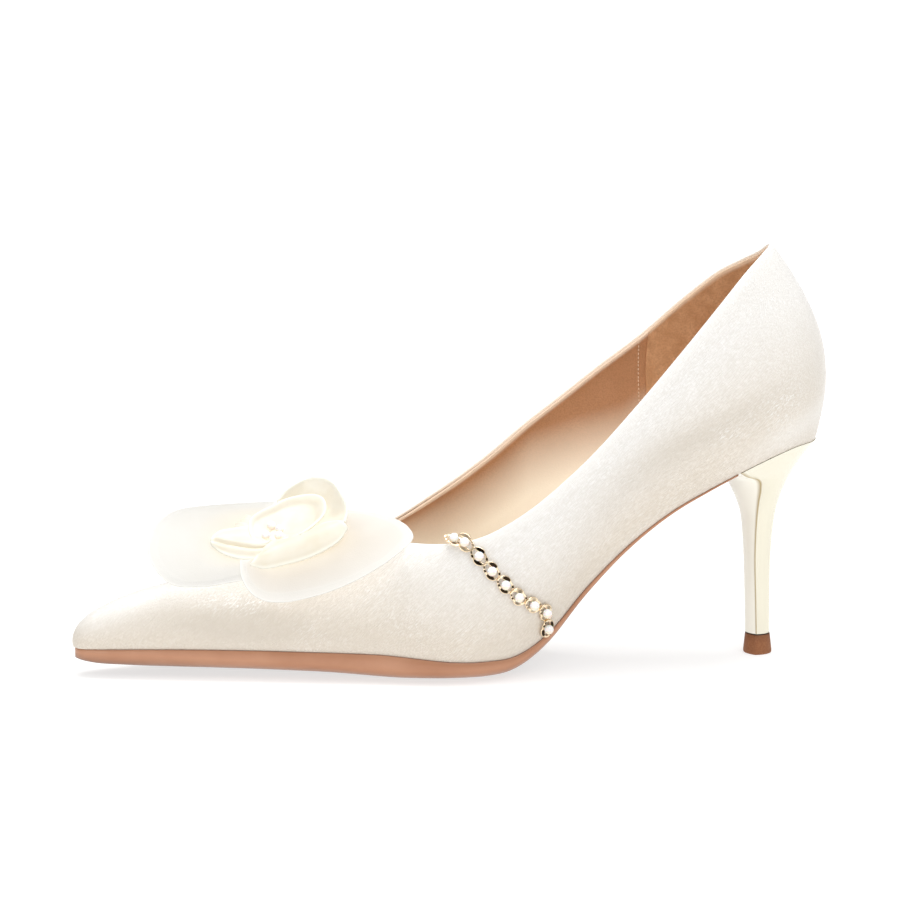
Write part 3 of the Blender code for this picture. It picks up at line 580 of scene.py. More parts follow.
satin, tree, shader = new_material("ivory_satin", (0.87, 0.78, 0.66), 0.42)
threads = grain(tree, THREAD, SATIN_TURN, 1.0)
cross_threads = grain(tree, CROSS_THREAD, SATIN_TURN, 1.0)
slubs = grain(tree, SLUB, SATIN_TURN, 1.0)
patches = grain(tree, GLINT_PATCH, SATIN_TURN)
tone = grain(tree, TONE_PATCH)
# Painted light: paler and whiter towards the topline and ridge, darker and warmer towards the feather edge
climb = ranged(tree, mark_of(tree, "climb"), 0.15, 0.8, 0.0, 1.0)
light = mixed(tree, climb, LIGHT_AT_SOLE, LIGHT_AT_TOP)
shade = mixed(tree, climb, SHADE_AT_SOLE, SHADE_AT_TOP)
colour = mixed(tree, ranged(tree, threads, 0.40, 0.60, 0.0, 1.0), shade, light)
colour = mixed(tree, ranged(tree, cross_threads, 0.40, 0.58, 0.65, 0.0), colour, shade)
colour = mixed(tree, ranged(tree, tone, 0.35, 0.65, 0.0, 0.25), colour, shade)
# Painted shade and painted highlight, in their zones and along the topline
colour = mixed(tree, ranged(tree, mark_of(tree, "dull"), 0.0, 1.0, 0.0, 0.7), colour, PAINTED_SHADE_SATIN)
colour = mixed(tree, ranged(tree, mark_of(tree, "bright"), 0.0, 1.0, 0.0, 0.75), colour, PAINTED_HIGHLIGHT_SATIN)
# Painted glints: slubs turned near white in scattered patches, and more in the glint zones
scattered = ranged(tree, patches, 0.45, 0.62, 0.05, 0.3)
caught = add_node(tree, "ShaderNodeMath", {0: scattered, 1: mark_of(tree, "glint")}, operation="ADD")
painted_glints = product(tree, ranged(tree, slubs, 0.53, 0.68, 0.0, 1.0), caught.outputs[0])
colour = mixed(tree, painted_glints, colour, PAINTED_SLUB_GLINT)
turned, away = mark_of(tree, "turned"), mark_of(tree, "away")
# Painted reflection of the tan lining on the inner half of the fold
colour = mixed(tree, ranged(tree, turned, 0.5, 0.75, 0.0, 0.8), colour, PAINTED_LINING_REFLECTION)
# A thin dark line of painted shade under the fold, just above the lining
gap = product(tree, ranged(tree, turned, 0.8, 0.95, 0.0, 0.85), ranged(tree, away, 0.3, 0.5, 0.0, 1.0))
colour = mixed(tree, gap, colour, PAINTED_SHADE_UNDER_FOLD)
connect(tree, colour, shader, "Base Color")
connect(tree, ranged(tree, threads, 0.35, 0.65, 0.46, 0.30), shader, "Roughness")
shader.inputs["Specular IOR Level"].default_value = 1.0
shader.inputs["Sheen Weight"].default_value = 0.35
shader.inputs["Sheen Roughness"].default_value = 0.4
normal = bumped(tree, cross_threads, 0.10, 0.8)
normal = bumped(tree, slubs, 0.08, 0.6, normal)
connect(tree, bumped(tree, threads, 0.16, 0.9, normal), shader, "Normal")
upper = add_piece("satin_upper", points, faces, satin, marks)
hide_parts("upper")

# The lining. Thin peach leather is stuck inside the satin: a front piece round the vamp and quarters,
# lapped over a darker nubuck counter piece at the heel and sewn to it down a seam on each side.
# Its upper edge is turned into a bead just under the folded satin. The bead is painted pale as a
# highlight, and above it the satin carries a thin dark line of painted shade.
SEAM_ROW = 4.875
LINING_OUTER = 1.35
FRONT_INNER = 2.05
COUNTER_INNER = 1.8
LINING_DROP = 1.0
LINING_ROUND = 0.28
BEAD_RISE, BEAD_AT, BEAD_WIDE = 0.25, 0.4, 0.6
STITCH_SETBACK_ROWS, STITCH_NUDGE_ROWS = 0.16, 0.05
STITCH_START, STITCH_PITCH = 0.5, 1.3
STITCH_SIZE = (0.46, 0.21)
STITCH_PROUD = 0.02
STITCH_CLIMBS = np.linspace(0.12, 0.965, 200)
RIM_HIGHLIGHT_WIDTH = 1.6
PALE_FROM, PALE_FROM_AT_SEAM, PALE_SPAN = 2.5, 12.0, 17.0
PALE_S, PALE_S_SPAN = 90.0, 30.0
LAP_ROWS = 0.15
PORE_DARK = 0.8
PALE_PEACH = (0.99, 0.865, 0.685)

# How far down the lining is painted paler towards the insole, as light falling in from above
wall_s = SHOE_LENGTH / 2 - wall[:, 0]
pale_from = PALE_FROM + PALE_FROM_AT_SEAM * clamped((PALE_S - wall_s) / PALE_S_SPAN)
lining_low = clamped((edge_away - pale_from) / PALE_SPAN)


def lining_shell(kept, inner_depth):
    """The lining over the columns that are kept, between the satin and the inside of the shoe."""
    strip = [(i, (i + 1) % len(columns)) for i in range(len(columns))]
    strip = [(a, b) for a, b in strip if kept(columns[a][0]) and kept(columns[b][0])]
    drop = drawn_down(LINING_DROP, 2 * FOLD_REACH)
    outer = wall + drop - wall_out * LINING_OUTER
    bead = BEAD_RISE * np.exp(-((edge_away - BEAD_AT) / BEAD_WIDE) ** 2)
    inner = wall + drop - wall_out * (inner_depth + bead)[:, None]
    marks = {"rim": np.exp(-(edge_away / RIM_HIGHLIGHT_WIDTH) ** 2), "low": lining_low}
    return closed_shell(wall_faces(strip), outer, inner, LINING_ROUND, EDGE_CUTS, marks)


def leather(name, dark, light, painted_light_low, pale, roughness, cloud, pore):
    """Leather with clouds and fine pores, painted paler towards the insole as light falling in, and painted
    pale along the bead at the topline as a highlight.
    """
    material, tree, shader = new_material(name, light, roughness)
    clouds = grain(tree, cloud, detail=4.0)
    pores = grain(tree, pore, detail=3.0)
    colour = mixed(tree, ranged(tree, clouds, 0.3, 0.7, 0.0, 1.0), dark, light)
    in_pores = tuple(PORE_DARK * part for part in dark)
    colour = mixed(tree, ranged(tree, pores, 0.35, 0.6, 0.5, 0.0), colour, in_pores)
    # Painted light, paler towards the insole
    colour = mixed(tree, mark_of(tree, "low"), colour, painted_light_low)
    # Painted highlight along the bead at the topline
    colour = mixed(tree, ranged(tree, mark_of(tree, "rim"), 0.3, 0.8, 0.0, 0.75), colour, pale)
    connect(tree, colour, shader, "Base Color")
    connect(tree, bumped(tree, pores, 0.12, 0.6, bumped(tree, clouds, 0.5, 0.3)), shader, "Normal")
    shader.inputs["Sheen Weight"].default_value = 0.1
    return material


peach_leather = leather("peach_leather", dark=(0.405, 0.18, 0.072), light=(0.49, 0.23, 0.103),
                        painted_light_low=PALE_PEACH, pale=(0.88, 0.70, 0.54), roughness=0.55, cloud=14.0, pore=0.5)
nubuck = leather("counter_nubuck", dark=(0.50, 0.245, 0.105), light=(0.635, 0.345, 0.175),
                 painted_light_low=(0.66, 0.36, 0.195), pale=(0.86, 0.66, 0.48), roughness=0.8, cloud=4.0, pore=0.6)
points, faces, marks = lining_shell(lambda row: row >= SEAM_ROW, FRONT_INNER)
lining = add_piece("front_lining", points, faces, peach_leather, marks)
points, faces, marks = lining_shell(lambda row: row <= SEAM_ROW + LAP_ROWS, COUNTER_INNER)
counter = add_piece("counter_lining", points, faces, nubuck, marks)


def grid_faces(lines, count, ringed=False, looped=False):
    """Faces over lines of points. Ringed joins each line's ends, and looped the last line to the first."""
    faces = []
    for i in range(lines if looped else lines - 1):
        for j in range(count if ringed else count - 1):
            after, beside = (i + 1) % lines, (j + 1) % count
            faces.append((i * count + j, i * count + beside, after * count + beside, after * count + j))
    return faces


def flipped(faces):
    """Four-cornered faces turned to look the other way."""
    return [(a, d, c, b) for a, b, c, d in faces]


def pellet(centre, run, out, half_length, half_width, steps=8, rings=5):
    """Points and faces of a small rounded pellet with its long way along run."""
    run, out = unit(np.asarray(run)), unit(np.asarray(out))
    side = np.cross(out, run)
    points = []
    for i in range(rings + 1):
        lean = math.pi * i / rings
        for j in range(steps):
            turn = 2 * math.pi * j / steps
            points.append(centre + run * half_length * math.cos(lean)
                          + (side * math.cos(turn) + out * math.sin(turn)) * half_width * math.sin(lean))
    return points, flipped(grid_faces(rings + 1, steps, ringed=True))


def joined(parts):
    """Many small forms as the points and faces of one mesh."""
    points, faces = [], []
    for part_points, part_faces in parts:
        faces += [tuple(corner + len(points) for corner in face) for face in part_faces]
        points += part_points
    return points, faces


def run_lengths(line):
    """How far each point of a line, or each line of a grid, lies from the first."""
    steps = np.linalg.norm(np.diff(line, axis=0), axis=-1)
    return np.concatenate((np.zeros_like(steps[:1]), np.cumsum(steps, axis=0)))


stitches = []
for side in (MEDIAL, LATERAL):
    row = SEAM_ROW + STITCH_SETBACK_ROWS
    here = in_shoe(wall_line(row, side, STITCH_CLIMBS))
    ahead = in_shoe(wall_line(row + STITCH_NUDGE_ROWS, side, STITCH_CLIMBS))
    run = unit(np.gradient(here, axis=0))
    inward = unit(np.cross(run, ahead - here))
    inward *= np.sign(np.sum(inward * (0.0, -side, 0.0), axis=1))[:, None]
    lengths = run_lengths(here)
    for distance in np.arange(STITCH_START, lengths[-1], STITCH_PITCH):
        i = int(np.argmin(np.abs(lengths - distance)))
        place = here[i] + inward[i] * (FRONT_INNER + STITCH_PROUD)
        stitches.append(pellet(place, run[i], inward[i], *STITCH_SIZE))
thread, tree, shader = new_material("seam_thread", (0.74, 0.52, 0.35), 0.6)
connect(tree, bumped(tree, grain(tree, (0.15, 0.15, 0.4)), 0.05), shader, "Normal")
points, faces = joined(stitches)
seam = add_piece("lining_stitches", points, faces, thread)

# The insole. A thin shaped board covered in the same peach leather lies on the lasting margin, from
# the heel seat to the toe. The cover wrinkles lengthwise where the board bends down through the arch.
UPPER_WALL = 1.8
INSOLE_CLEARANCE = 0.4
INSOLE_INSET = UPPER_WALL + INSOLE_CLEARANCE
INSOLE_THICKNESS = 1.8
INSOLE_ROUND, INSOLE_EDGE_CUTS = 0.3, 5
INSOLE_ROWS = np.concatenate(([0.4, 0.7], np.arange(1.0, TIP_ROW - 1.99, 0.125)))
INSOLE_CUTS = 40
WRINKLE_S, WRINKLE_SPAN = 84.0, 26.0
WRINKLE_DEPTH = 0.10
WRINKLE_FINE, WRINKLE_WANDER, WRINKLE_WANDER_TURN = 1.9, 0.35, 0.05
WRINKLE_BREAK_S, WRINKLE_BREAK_Y = 0.13, 0.8


def wrinkle(s, y):
    """Height of the cover's wrinkles, which wander and break as they run through the arch."""
    arch = math.exp(-((s - WRINKLE_S) / WRINKLE_SPAN) ** 2)
    line = math.sin(WRINKLE_FINE * y + WRINKLE_WANDER * s * math.sin(WRINKLE_WANDER_TURN * s))
    return WRINKLE_DEPTH * arch * (line * math.sin(WRINKLE_BREAK_S * s + WRINKLE_BREAK_Y * y))


points = []
for row in INSOLE_ROWS:
    lateral, medial = (np.array(foot_point(row, side, -INSOLE_INSET)) for side in (LATERAL, MEDIAL))
    for i in range(INSOLE_CUTS + 1):
        share = i / INSOLE_CUTS
        s, y, z = lateral + (medial - lateral) * share
        points.append((s, y, z + INSOLE_THICKNESS + wrinkle(s, y)))
cover = in_shoe(points)
board = cover - np.array((0.0, 0.0, INSOLE_THICKNESS))
faces = grid_faces(len(INSOLE_ROWS), INSOLE_CUTS + 1)
points, faces = closed_shell(faces, cover, board, INSOLE_ROUND, INSOLE_EDGE_CUTS)[:2]
insole_leather, tree, shader = new_material("insole_leather", PALE_PEACH, 0.5)
clouds = grain(tree, (20.0, 12.0, 20.0), detail=4.0)
wrinkles = grain(tree, (9.0, 0.9, 9.0), math.radians(35.0))
pores = grain(tree, 0.45, detail=3.0)
colour = mixed(tree, ranged(tree, clouds, 0.3, 0.7, 0.0, 1.0), (0.85, 0.85, 0.84), (0.87, 0.87, 0.865))
connect(tree, colour, shader, "Base Color")
normal = bumped(tree, wrinkles, 0.25, 0.6)
connect(tree, bumped(tree, pores, 0.08, 0.5, normal), shader, "Normal")
insole = add_piece("covered_insole", points, faces, insole_leather)
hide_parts("insole")

# The outsole. Rose-beige moulded sole, stuck under the upper from the heel breast to the toe, thin in
# the waist and flat under the ball. Its lower edge is rounded, and its sides are rubbed to a soft gloss.
# Its underside and its top under the upper are painted darker, as painted shade.
MEETING_GAP = 0.3
SOLE_OVERHANG = 0.4
SOLE_SEAT = 0.06
TOE_TUCK, TOE_TUCK_FROM = 1.0, 21.0
SOLE_ROUND_IN, SOLE_ROUND_IN_SHARE = 16.0, 0.3
SOLE_ROUND_UP, SOLE_ROUND_UP_SHARE = 4.6, 0.7
SOLE_END_ROW = 3.42
TIP_ROUNDING = 0.06
SOLE_TOP_CUTS = 8
SOLE_ROUND_CUTS = 8
SOLE_ROW_CUTS = 6
SOLE_CORNER, SOLE_CORNER_SHARE = 0.25, 0.2
SOLE_MIDDLE = [0.6, 0.5, 0.4]
# How dark the sole is painted as shade: by a curve round its lower edge, at its top, at its corners and
# underneath
SHADE_PAINT_CURVE, SHADE_PAINT_TOP, SHADE_PAINT_CORNER, SHADE_PAINT_UNDER = 1.2, 0.7, 0.2, 1.0


def loft(rings):
    """Points and faces of a skin over closed rings of equal length, with caps."""
    count = len(rings[0])
    points = [point for line in rings for point in line]
    faces = grid_faces(len(rings), count, ringed=True)
    faces.append(tuple(range(count - 1, -1, -1)))
    faces.append(tuple(range(len(points) - count, len(points))))
    return points, faces


sole_bottoms = [row.height - row.sole_drop for row in FOOT]


def sole_ring(row):
    """The sole's section at a row: flat top, sharp upper corners and a rounded lower edge."""
    tuck = TOE_TUCK * max(0.0, (row - TOE_TUCK_FROM) / (TIP_ROW - TOE_TUCK_FROM)) ** 2
    lateral, medial = (foot_point(row, side, SOLE_OVERHANG - tuck) for side in (LATERAL, MEDIAL))
    width = medial[1] - lateral[1]
    inset = min(SOLE_ROUND_IN, SOLE_ROUND_IN_SHARE * width)
    thickness = (lateral[2] + medial[2]) / 2 - SOLE_SEAT - max(0.0, along(sole_bottoms, row))
    lift = min(SOLE_ROUND_UP, SOLE_ROUND_UP_SHARE * thickness)
    corner = min(SOLE_CORNER, SOLE_CORNER_SHARE * thickness)

    def across(share, rise, from_top=None):
        """A point from the lateral (0) to the medial (1) edge, by its rise over the underside."""
        s = lateral[0] + (medial[0] - lateral[0]) * share
        if from_top is None:
            height = max(0.0, along(sole_bottoms, row_at(s))) + rise
        else:
            height = lateral[2] + (medial[2] - lateral[2]) * share - SOLE_SEAT - from_top
        return s, lateral[1] + width * share, height

    line = [across(corner / width + (1 - 2 * corner / width) * i / SOLE_TOP_CUTS, 0.0, 0.0)
            for i in range(SOLE_TOP_CUTS + 1)]
    line.append(across(1.0, 0.0, corner))
    turns = [math.pi / 2 * i / SOLE_ROUND_CUTS for i in range(SOLE_ROUND_CUTS + 1)]
    rounding = [(inset * (1 - math.cos(turn)), lift * (1 - math.sin(turn))) for turn in turns]
    line += [across(1 - shift / width, rise) for shift, rise in rounding]
    line += [across(share, 0.0) for share in SOLE_MIDDLE]
    line += [across(shift / width, rise) for shift, rise in reversed(rounding)]
    line.append(across(0.0, 0.0, corner))
    return [tuple(point) for point in in_shoe(line)]


sole_first = math.floor(SOLE_END_ROW * SOLE_ROW_CUTS) + 1
sole_rows = [SOLE_END_ROW, *(i / SOLE_ROW_CUTS for i in range(sole_first, TIP_ROW * SOLE_ROW_CUTS)),
             TIP_ROW - TIP_ROUNDING]
sole_rings = [sole_ring(row) for row in sole_rows]
points, faces = loft(sole_rings)
# Painted shade round the sole's section, darkest underneath and along its top under the upper
rub = [(i / SOLE_ROUND_CUTS) ** SHADE_PAINT_CURVE for i in range(SOLE_ROUND_CUTS + 1)]
ring_painted_shade = ([SHADE_PAINT_TOP] * (SOLE_TOP_CUTS + 1) + [SHADE_PAINT_CORNER] + rub + [SHADE_PAINT_UNDER] * len(SOLE_MIDDLE)
            + rub[::-1] + [SHADE_PAINT_CORNER])
sole_finish, tree, shader = new_material("beige_sole", (0.66, 0.36, 0.25), 0.36)
clouds = grain(tree, (16.0, 16.0, 9.0), detail=3.0)
scuffs = grain(tree, (2.2, 2.2, 0.3), detail=3.0)
colour = mixed(tree, ranged(tree, clouds, 0.3, 0.7, 0.0, 1.0), (0.46, 0.205, 0.106), (0.55, 0.268, 0.152))
# Painted shade on the sole's underside and along its top edge
colour = mixed(tree, ranged(tree, mark_of(tree, "rub"), 0.0, 0.9, 0.0, 0.92), colour, (0.10, 0.045, 0.028))
connect(tree, colour, shader, "Base Color")
connect(tree, ranged(tree, scuffs, 0.3, 0.7, 0.30, 0.44), shader, "Roughness")
connect(tree, bumped(tree, scuffs, 0.04, 0.4), shader, "Normal")
shader.inputs["Coat Weight"].default_value = 0.15
shader.inputs["Coat Roughness"].default_value = 0.25
sole_marks = {"rub": np.tile(ring_painted_shade, len(sole_rings))}
outsole = add_piece("moulded_outsole", points, faces, sole_finish, sole_marks)
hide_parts("outsole")

# The heel. A slim moulded core plated in pale gold and polished, screwed up into the seat. Its back is
# round and its breast is a slightly full pane between two crisp edges, painted paler as a painted
# reflection of the bright room.
LIFT_HEIGHT = 6.6
HeelRow = namedtuple("HeelRow", "height back edge front half_width tilt")
HEEL = [
    HeelRow(LIFT_HEIGHT + MEETING_GAP, 16.1, 21.3, 23.8, 4.6, 0.0),
    HeelRow(18.0, 16.2, 21.7, 24.2, 4.6, 0.0),
    HeelRow(30.0, 16.2, 22.2, 24.7, 4.7, 0.0),
    HeelRow(39.0, 15.8, 22.3, 25.3, 5.2, 0.0),
    HeelRow(46.0, 15.0, 22.3, 26.1, 6.4, 0.03),
    HeelRow(51.0, 13.8, 22.3, 27.6, 8.2, 0.06),
    HeelRow(55.5, 12.0, 22.4, 29.5, 10.8, 0.11),
    HeelRow(59.5, 9.6, 23.8, 31.0, 14.2, 0.17),
    HeelRow(63.2, 6.5, 28.6, 31.7, 18.6, 0.24),
]
HEEL_ROUNDNESS = 2.2
BREAST_ROW = 3.36
SEAT_LINE = 0.08
HEEL_RING_STEPS = 56
BREAST_STEPS = 18
HEEL_ROW_CUTS = 8
CRISP_ANGLE = math.radians(32.0)


def heel_ring(row):
    """A D-shaped section: round back from edge to edge, and a slightly full breast."""
    middle = (row.back + row.front) / 2
    line = []
    for step in range(HEEL_RING_STEPS + 1):
        turn = math.pi * step / HEEL_RING_STEPS
        depth = max(math.sin(turn), 0.0) ** (2 / HEEL_ROUNDNESS)
        across = math.copysign(abs(math.cos(turn)) ** (2 / HEEL_ROUNDNESS), math.cos(turn))
        line.append((row.edge - (row.edge - row.back) * depth, -row.half_width * across))
    for step in range(1, BREAST_STEPS):
        across = 1 - 2 * step / BREAST_STEPS
        line.append((row.edge + (row.front - row.edge) * (1 - across**2), row.half_width * across))
    return np.array([(s, y, row.height + row.tilt * (middle - s)) for s, y in line])


seat = []
for step in range(HEEL_RING_STEPS + 1):
    row = BREAST_ROW * abs(1 - 2 * step / HEEL_RING_STEPS)
    side = LATERAL if step < HEEL_RING_STEPS / 2 else MEDIAL
    gap = SEAT_LINE + (MEETING_GAP - SEAT_LINE) * (row / BREAST_ROW) ** 3
    seat.append(np.array(foot_point(row, side, SOLE_OVERHANG / 2)) - (0.0, 0.0, gap))
for step in range(1, BREAST_STEPS):
    seat.append(seat[HEEL_RING_STEPS] + (seat[0] - seat[HEEL_RING_STEPS]) * step / BREAST_STEPS)
heel_rows = [heel_ring(row) for row in HEEL] + [np.array(seat)]
heel_rings = [along(heel_rows, i / HEEL_ROW_CUTS) for i in range(HEEL_ROW_CUTS * (len(heel_rows) - 1) + 1)]
points, faces = loft([[tuple(point) for point in in_shoe(line)] for line in heel_rings])
edge_marks = np.zeros(len(heel_rings[0]))
edge_marks[[0, HEEL_RING_STEPS]] = 1.0
breast_marks = np.zeros(len(heel_rings[0]))
breast_marks[HEEL_RING_STEPS:] = 1.0
breast_marks[0] = 1.0
plating, tree, shader = new_material("pale_gold", (0.84, 0.79, 0.63), 0.2, 0.45)
ripple = grain(tree, (9.0, 9.0, 22.0), detail=1.0)
# The breast is painted paler, a painted reflection of the bright room
colour = mixed(tree, mark_of(tree, "breast"), (0.825, 0.78, 0.645), (1.0, 0.975, 0.87))
colour = mixed(tree, ranged(tree, mark_of(tree, "edge"), 0.25, 1.0, 0.0, 0.9), colour, (0.36, 0.24, 0.06))
connect(tree, colour, shader, "Base Color")
connect(tree, ranged(tree, mark_of(tree, "breast"), 0.0, 1.0, 0.45, 0.0), shader, "Metallic")
connect(tree, bumped(tree, ripple, 0.25, 0.15), shader, "Normal")
heel_marks = {"edge": np.tile(edge_marks, len(heel_rings)), "breast": np.tile(breast_marks, len(heel_rings))}
heel = add_piece("plated_heel", points, faces, plating, heel_marks)
heel.data.set_sharp_from_angle(angle=CRISP_ANGLE)
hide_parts("heel")

# The top lift. A caramel rubber pad, pinned under the heel and a little wider at the floor, with its
# lower rim worn round.
LiftRow = namedtuple("LiftRow", "height share inset")
LIFT_LOW = HeelRow(0.0, 15.2, 21.7, 24.3, 5.0, 0.0)
LIFT_HIGH = HeelRow(LIFT_HEIGHT, 15.9, 21.3, 23.8, 4.65, 0.0)
LIFT_ROWS = [
    LiftRow(0.0, 0.0, 0.45), LiftRow(0.12, 0.0, 0.16), LiftRow(0.4, 0.0, 0.02), LiftRow(1.0, 0.0, 0.0),
    LiftRow(3.8, 0.5, 0.0), LiftRow(6.3, 0.95, 0.0), LiftRow(6.52, 1.0, 0.08), LiftRow(LIFT_HEIGHT, 1.0, 0.3),
]
GLUE_FROM = 6.2

lift_rings = []
for line in LIFT_ROWS:
    row = HeelRow(*(low + (high - low) * line.share for low, high in zip(LIFT_LOW, LIFT_HIGH)))
    row = row._replace(height=line.height, back=row.back + line.inset, edge=row.edge - line.inset / 2,
                       front=row.front - line.inset, half_width=row.half_width - line.inset)
    lift_rings.append([tuple(point) for point in in_shoe(heel_ring(row))])
points, faces = loft(lift_rings)
glue = [max(0.0, (line.height - GLUE_FROM) / (LIFT_HEIGHT - GLUE_FROM)) for line in LIFT_ROWS]
rubber, tree, shader = new_material("caramel_rubber", (0.40, 0.15, 0.06), 0.6)
speckle = grain(tree, 0.5, detail=3.0)
colour = mixed(tree, ranged(tree, speckle, 0.3, 0.7, 0.0, 1.0), (0.245, 0.083, 0.026), (0.335, 0.127, 0.046))
colour = mixed(tree, mark_of(tree, "glue"), colour, (0.05, 0.02, 0.01))
connect(tree, colour, shader, "Base Color")
connect(tree, bumped(tree, speckle, 0.08, 0.5), shader, "Normal")
top_lift = add_piece("rubber_top_lift", points, faces, rubber, {"glue": np.repeat(glue, len(lift_rings[0]))})
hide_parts("top_lift")

# The flower's organza. Two large petals of stiff white organza lie on the vamp under the rose, one to
# the toe and one to the heel. Each is a folded double layer, its hem turned in and sewn down at the
# heart, so it stands a little puffed and hides all but a trace of the shoe.
FLOWER_S, FLOWER_Y, FLOWER_Z = 176.0, -4.0, 42.5
HEART_RADIUS = 5.0
PETAL_ROOT_GAP = 0.5
FLOWER_TILT, FLOWER_TILT_AT_HEEL = 0.62, 0.32
FLOWER_DROOP, FLOWER_DROOP_AT_HEEL = 0.0140, 0.0045
FLOWER_EASE = 38.0
FLOWER_BEND = 4.0
FLOWER_RISE = 0.18
ORGANZA_ROOT = HEART_RADIUS + PETAL_ROOT_GAP
OrganzaPetal = namedtuple("OrganzaPetal", "name headings reaches root raises")
ORGANZA_PETALS = [
    OrganzaPetal("organza_petal_toe",
                 [-95, -68, -43, -20, 0, 12, 20, 28, 36, 46, 68],
                 [24.0, 31.0, 36.0, 37.6, 39.6, 38.1, 34.6, 26.8, 20.2, 15.8, 13.0],
                 -1.3, [1.4, 1.0, 0.3, -0.3, -0.6, -0.6, -0.6, -0.6, -0.6, -0.6, -0.6]),
    OrganzaPetal("organza_petal_heel",
                 [32, 46, 60, 74, 90, 108, 125, 138, 149, 158, 165, 173, 184, 196, 214, 248],
                 [13.5, 16.6, 18.6, 19.2, 19.5, 21.8, 27.0, 33.8,
                  40.8, 44.2, 42.4, 38.0, 31.2, 24.5, 19.5, 15.5],
                 0.0, [0.0, 0.2, 0.4, 0.5, 0.6, 0.7, 0.8, 0.9, 0.9, 0.9, 0.8, 0.7, 0.6, 0.4, 0.2, 0.0]),
]
ORGANZA_SHARES = [0.0, 0.2, 0.4, 0.6, 0.8, 1.0]
ORGANZA_PUFF = 0.7
ORGANZA_EDGE = 0.12
ORGANZA_UNDER_SHARE, ORGANZA_EDGE_CUTS = 0.4, 4
HEM_WIDTH, HEM_BLUR, HEM_RISE = 3.4, 0.5, 0.06
LIP_WIDTH = 0.35
PETAL_ACROSS, PETAL_OUTWARD = 120, 48
PETAL_CROWDING = 1.3


def flower_plane(s, y):
    """The flower's lie: tilted to the lateral side, and rising a little towards the heel."""
    near = FLOWER_Y - y
    towards_heel = (FLOWER_S - s + math.hypot(FLOWER_S - s, FLOWER_BEND)) / 2
    eased = min(1.0, towards_heel / FLOWER_EASE)
    tilt = FLOWER_TILT + (FLOWER_TILT_AT_HEEL - FLOWER_TILT) * eased
    droop = FLOWER_DROOP + (FLOWER_DROOP_AT_HEEL - FLOWER_DROOP) * eased
    return FLOWER_Z + FLOWER_RISE * towards_heel - tilt * near - droop * near**2


def petal_point(toward_toe, near, raised):
    """A point of the flower: place in plan from its heart, and height over its lie."""
    s, y = FLOWER_S + toward_toe, FLOWER_Y - near
    return s, y, flower_plane(s, y) + raised


def headed(heading, reach):
    """A place in plan by its heading from the heart, turned from the toe to the outer side, and reach."""
    turn = math.radians(heading)
    return reach * math.cos(turn), reach * math.sin(turn)


def petal_grid(rows):
    """Points and faces over a petal's rows, and for each point its share outwards and way in from the rim."""
    rows = [np.array(row, dtype=float) for row in rows]
    outs = 1 - (1 - np.linspace(0.0, 1.0, PETAL_OUTWARD + 1)) ** PETAL_CROWDING
    lines = []
    for i in range(PETAL_ACROSS + 1):
        line = along(rows, (len(rows) - 1) * i / PETAL_ACROSS)
        lines.append(in_shoe([petal_point(*along(line, (len(line) - 1) * out)) for out in outs]))
    grid = np.array(lines)
    across, outward = run_lengths(grid), run_lengths(grid.swapaxes(0, 1)).T
    from_rim = np.minimum(outward[:, -1:] - outward, np.minimum(across, across[-1:] - across))
    faces = flipped(grid_faces(PETAL_ACROSS + 1, PETAL_OUTWARD + 1))
    points = grid.reshape(-1, 3)
    if np.mean(smooth_normals(points, faces)[:, 2]) < 0:
        faces = [tuple(reversed(face)) for face in faces]
    return points, faces, np.tile(outs, PETAL_ACROSS + 1), from_rim.ravel()


def add_petal(node, piece_name, cloth, middle, faces, over, under, swell, edge_cuts, marks):
    """A petal of cloth over and under its middle surface, in place of the part's own petal; it casts no
    shadow.
    """
    up = smooth_normals(middle, faces)
    points, made, marks = closed_shell(faces, middle + up * over[:, None], middle - up * under[:, None],
                                       swell, edge_cuts, marks)
    piece = add_piece(piece_name, points, made, cloth, marks)
    piece.visible_shadow = False
    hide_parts(node)


def organza_cloth(name, dark, light, hem_colour):
    """Sheer cloth with a fine weave, closer along its turned hem, paler towards its rim, and painted warmer
    as shade where the rose shades it.
    """
    cloth, tree, shader = new_material(name, light, 0.55)
    weave = grain(tree, 0.35, detail=1.0)
    clouds = grain(tree, 9.0)
    cover = mixed(tree, mark_of(tree, "hem"), (0.90, 0.90, 0.90), (0.92, 0.92, 0.92))
    cover = mixed(tree, mark_of(tree, "lip"), cover, (1.0, 1.0, 1.0))
    connect(tree, cover, shader, "Alpha")
    colour = mixed(tree, ranged(tree, clouds, 0.3, 0.7, 0.0, 1.0), dark, light)
    colour = mixed(tree, ranged(tree, weave, 0.4, 0.6, 0.4, 0.0), colour, dark)
    colour = mixed(tree, ranged(tree, mark_of(tree, "outs"), 0.55, 0.95, 0.0, 0.8), colour, hem_colour)
    colour = mixed(tree, ranged(tree, mark_of(tree, "hem"), 0.0, 1.0, 0.0, 0.6), colour, hem_colour)
    # Painted shade: warmer and darker towards the heart, under the rose
    colour = mixed(tree, ranged(tree, mark_of(tree, "outs"), 0.0, 0.6, 0.8, 0.0), colour, (0.70, 0.615, 0.46))
    connect(tree, mixed(tree, mark_of(tree, "lip"), colour, (0.72, 0.705, 0.675)), shader, "Base Color")
    connect(tree, bumped(tree, weave, 0.08, 0.5), shader, "Normal")
    shader.inputs["Sheen Weight"].default_value = 0.15
    return cloth


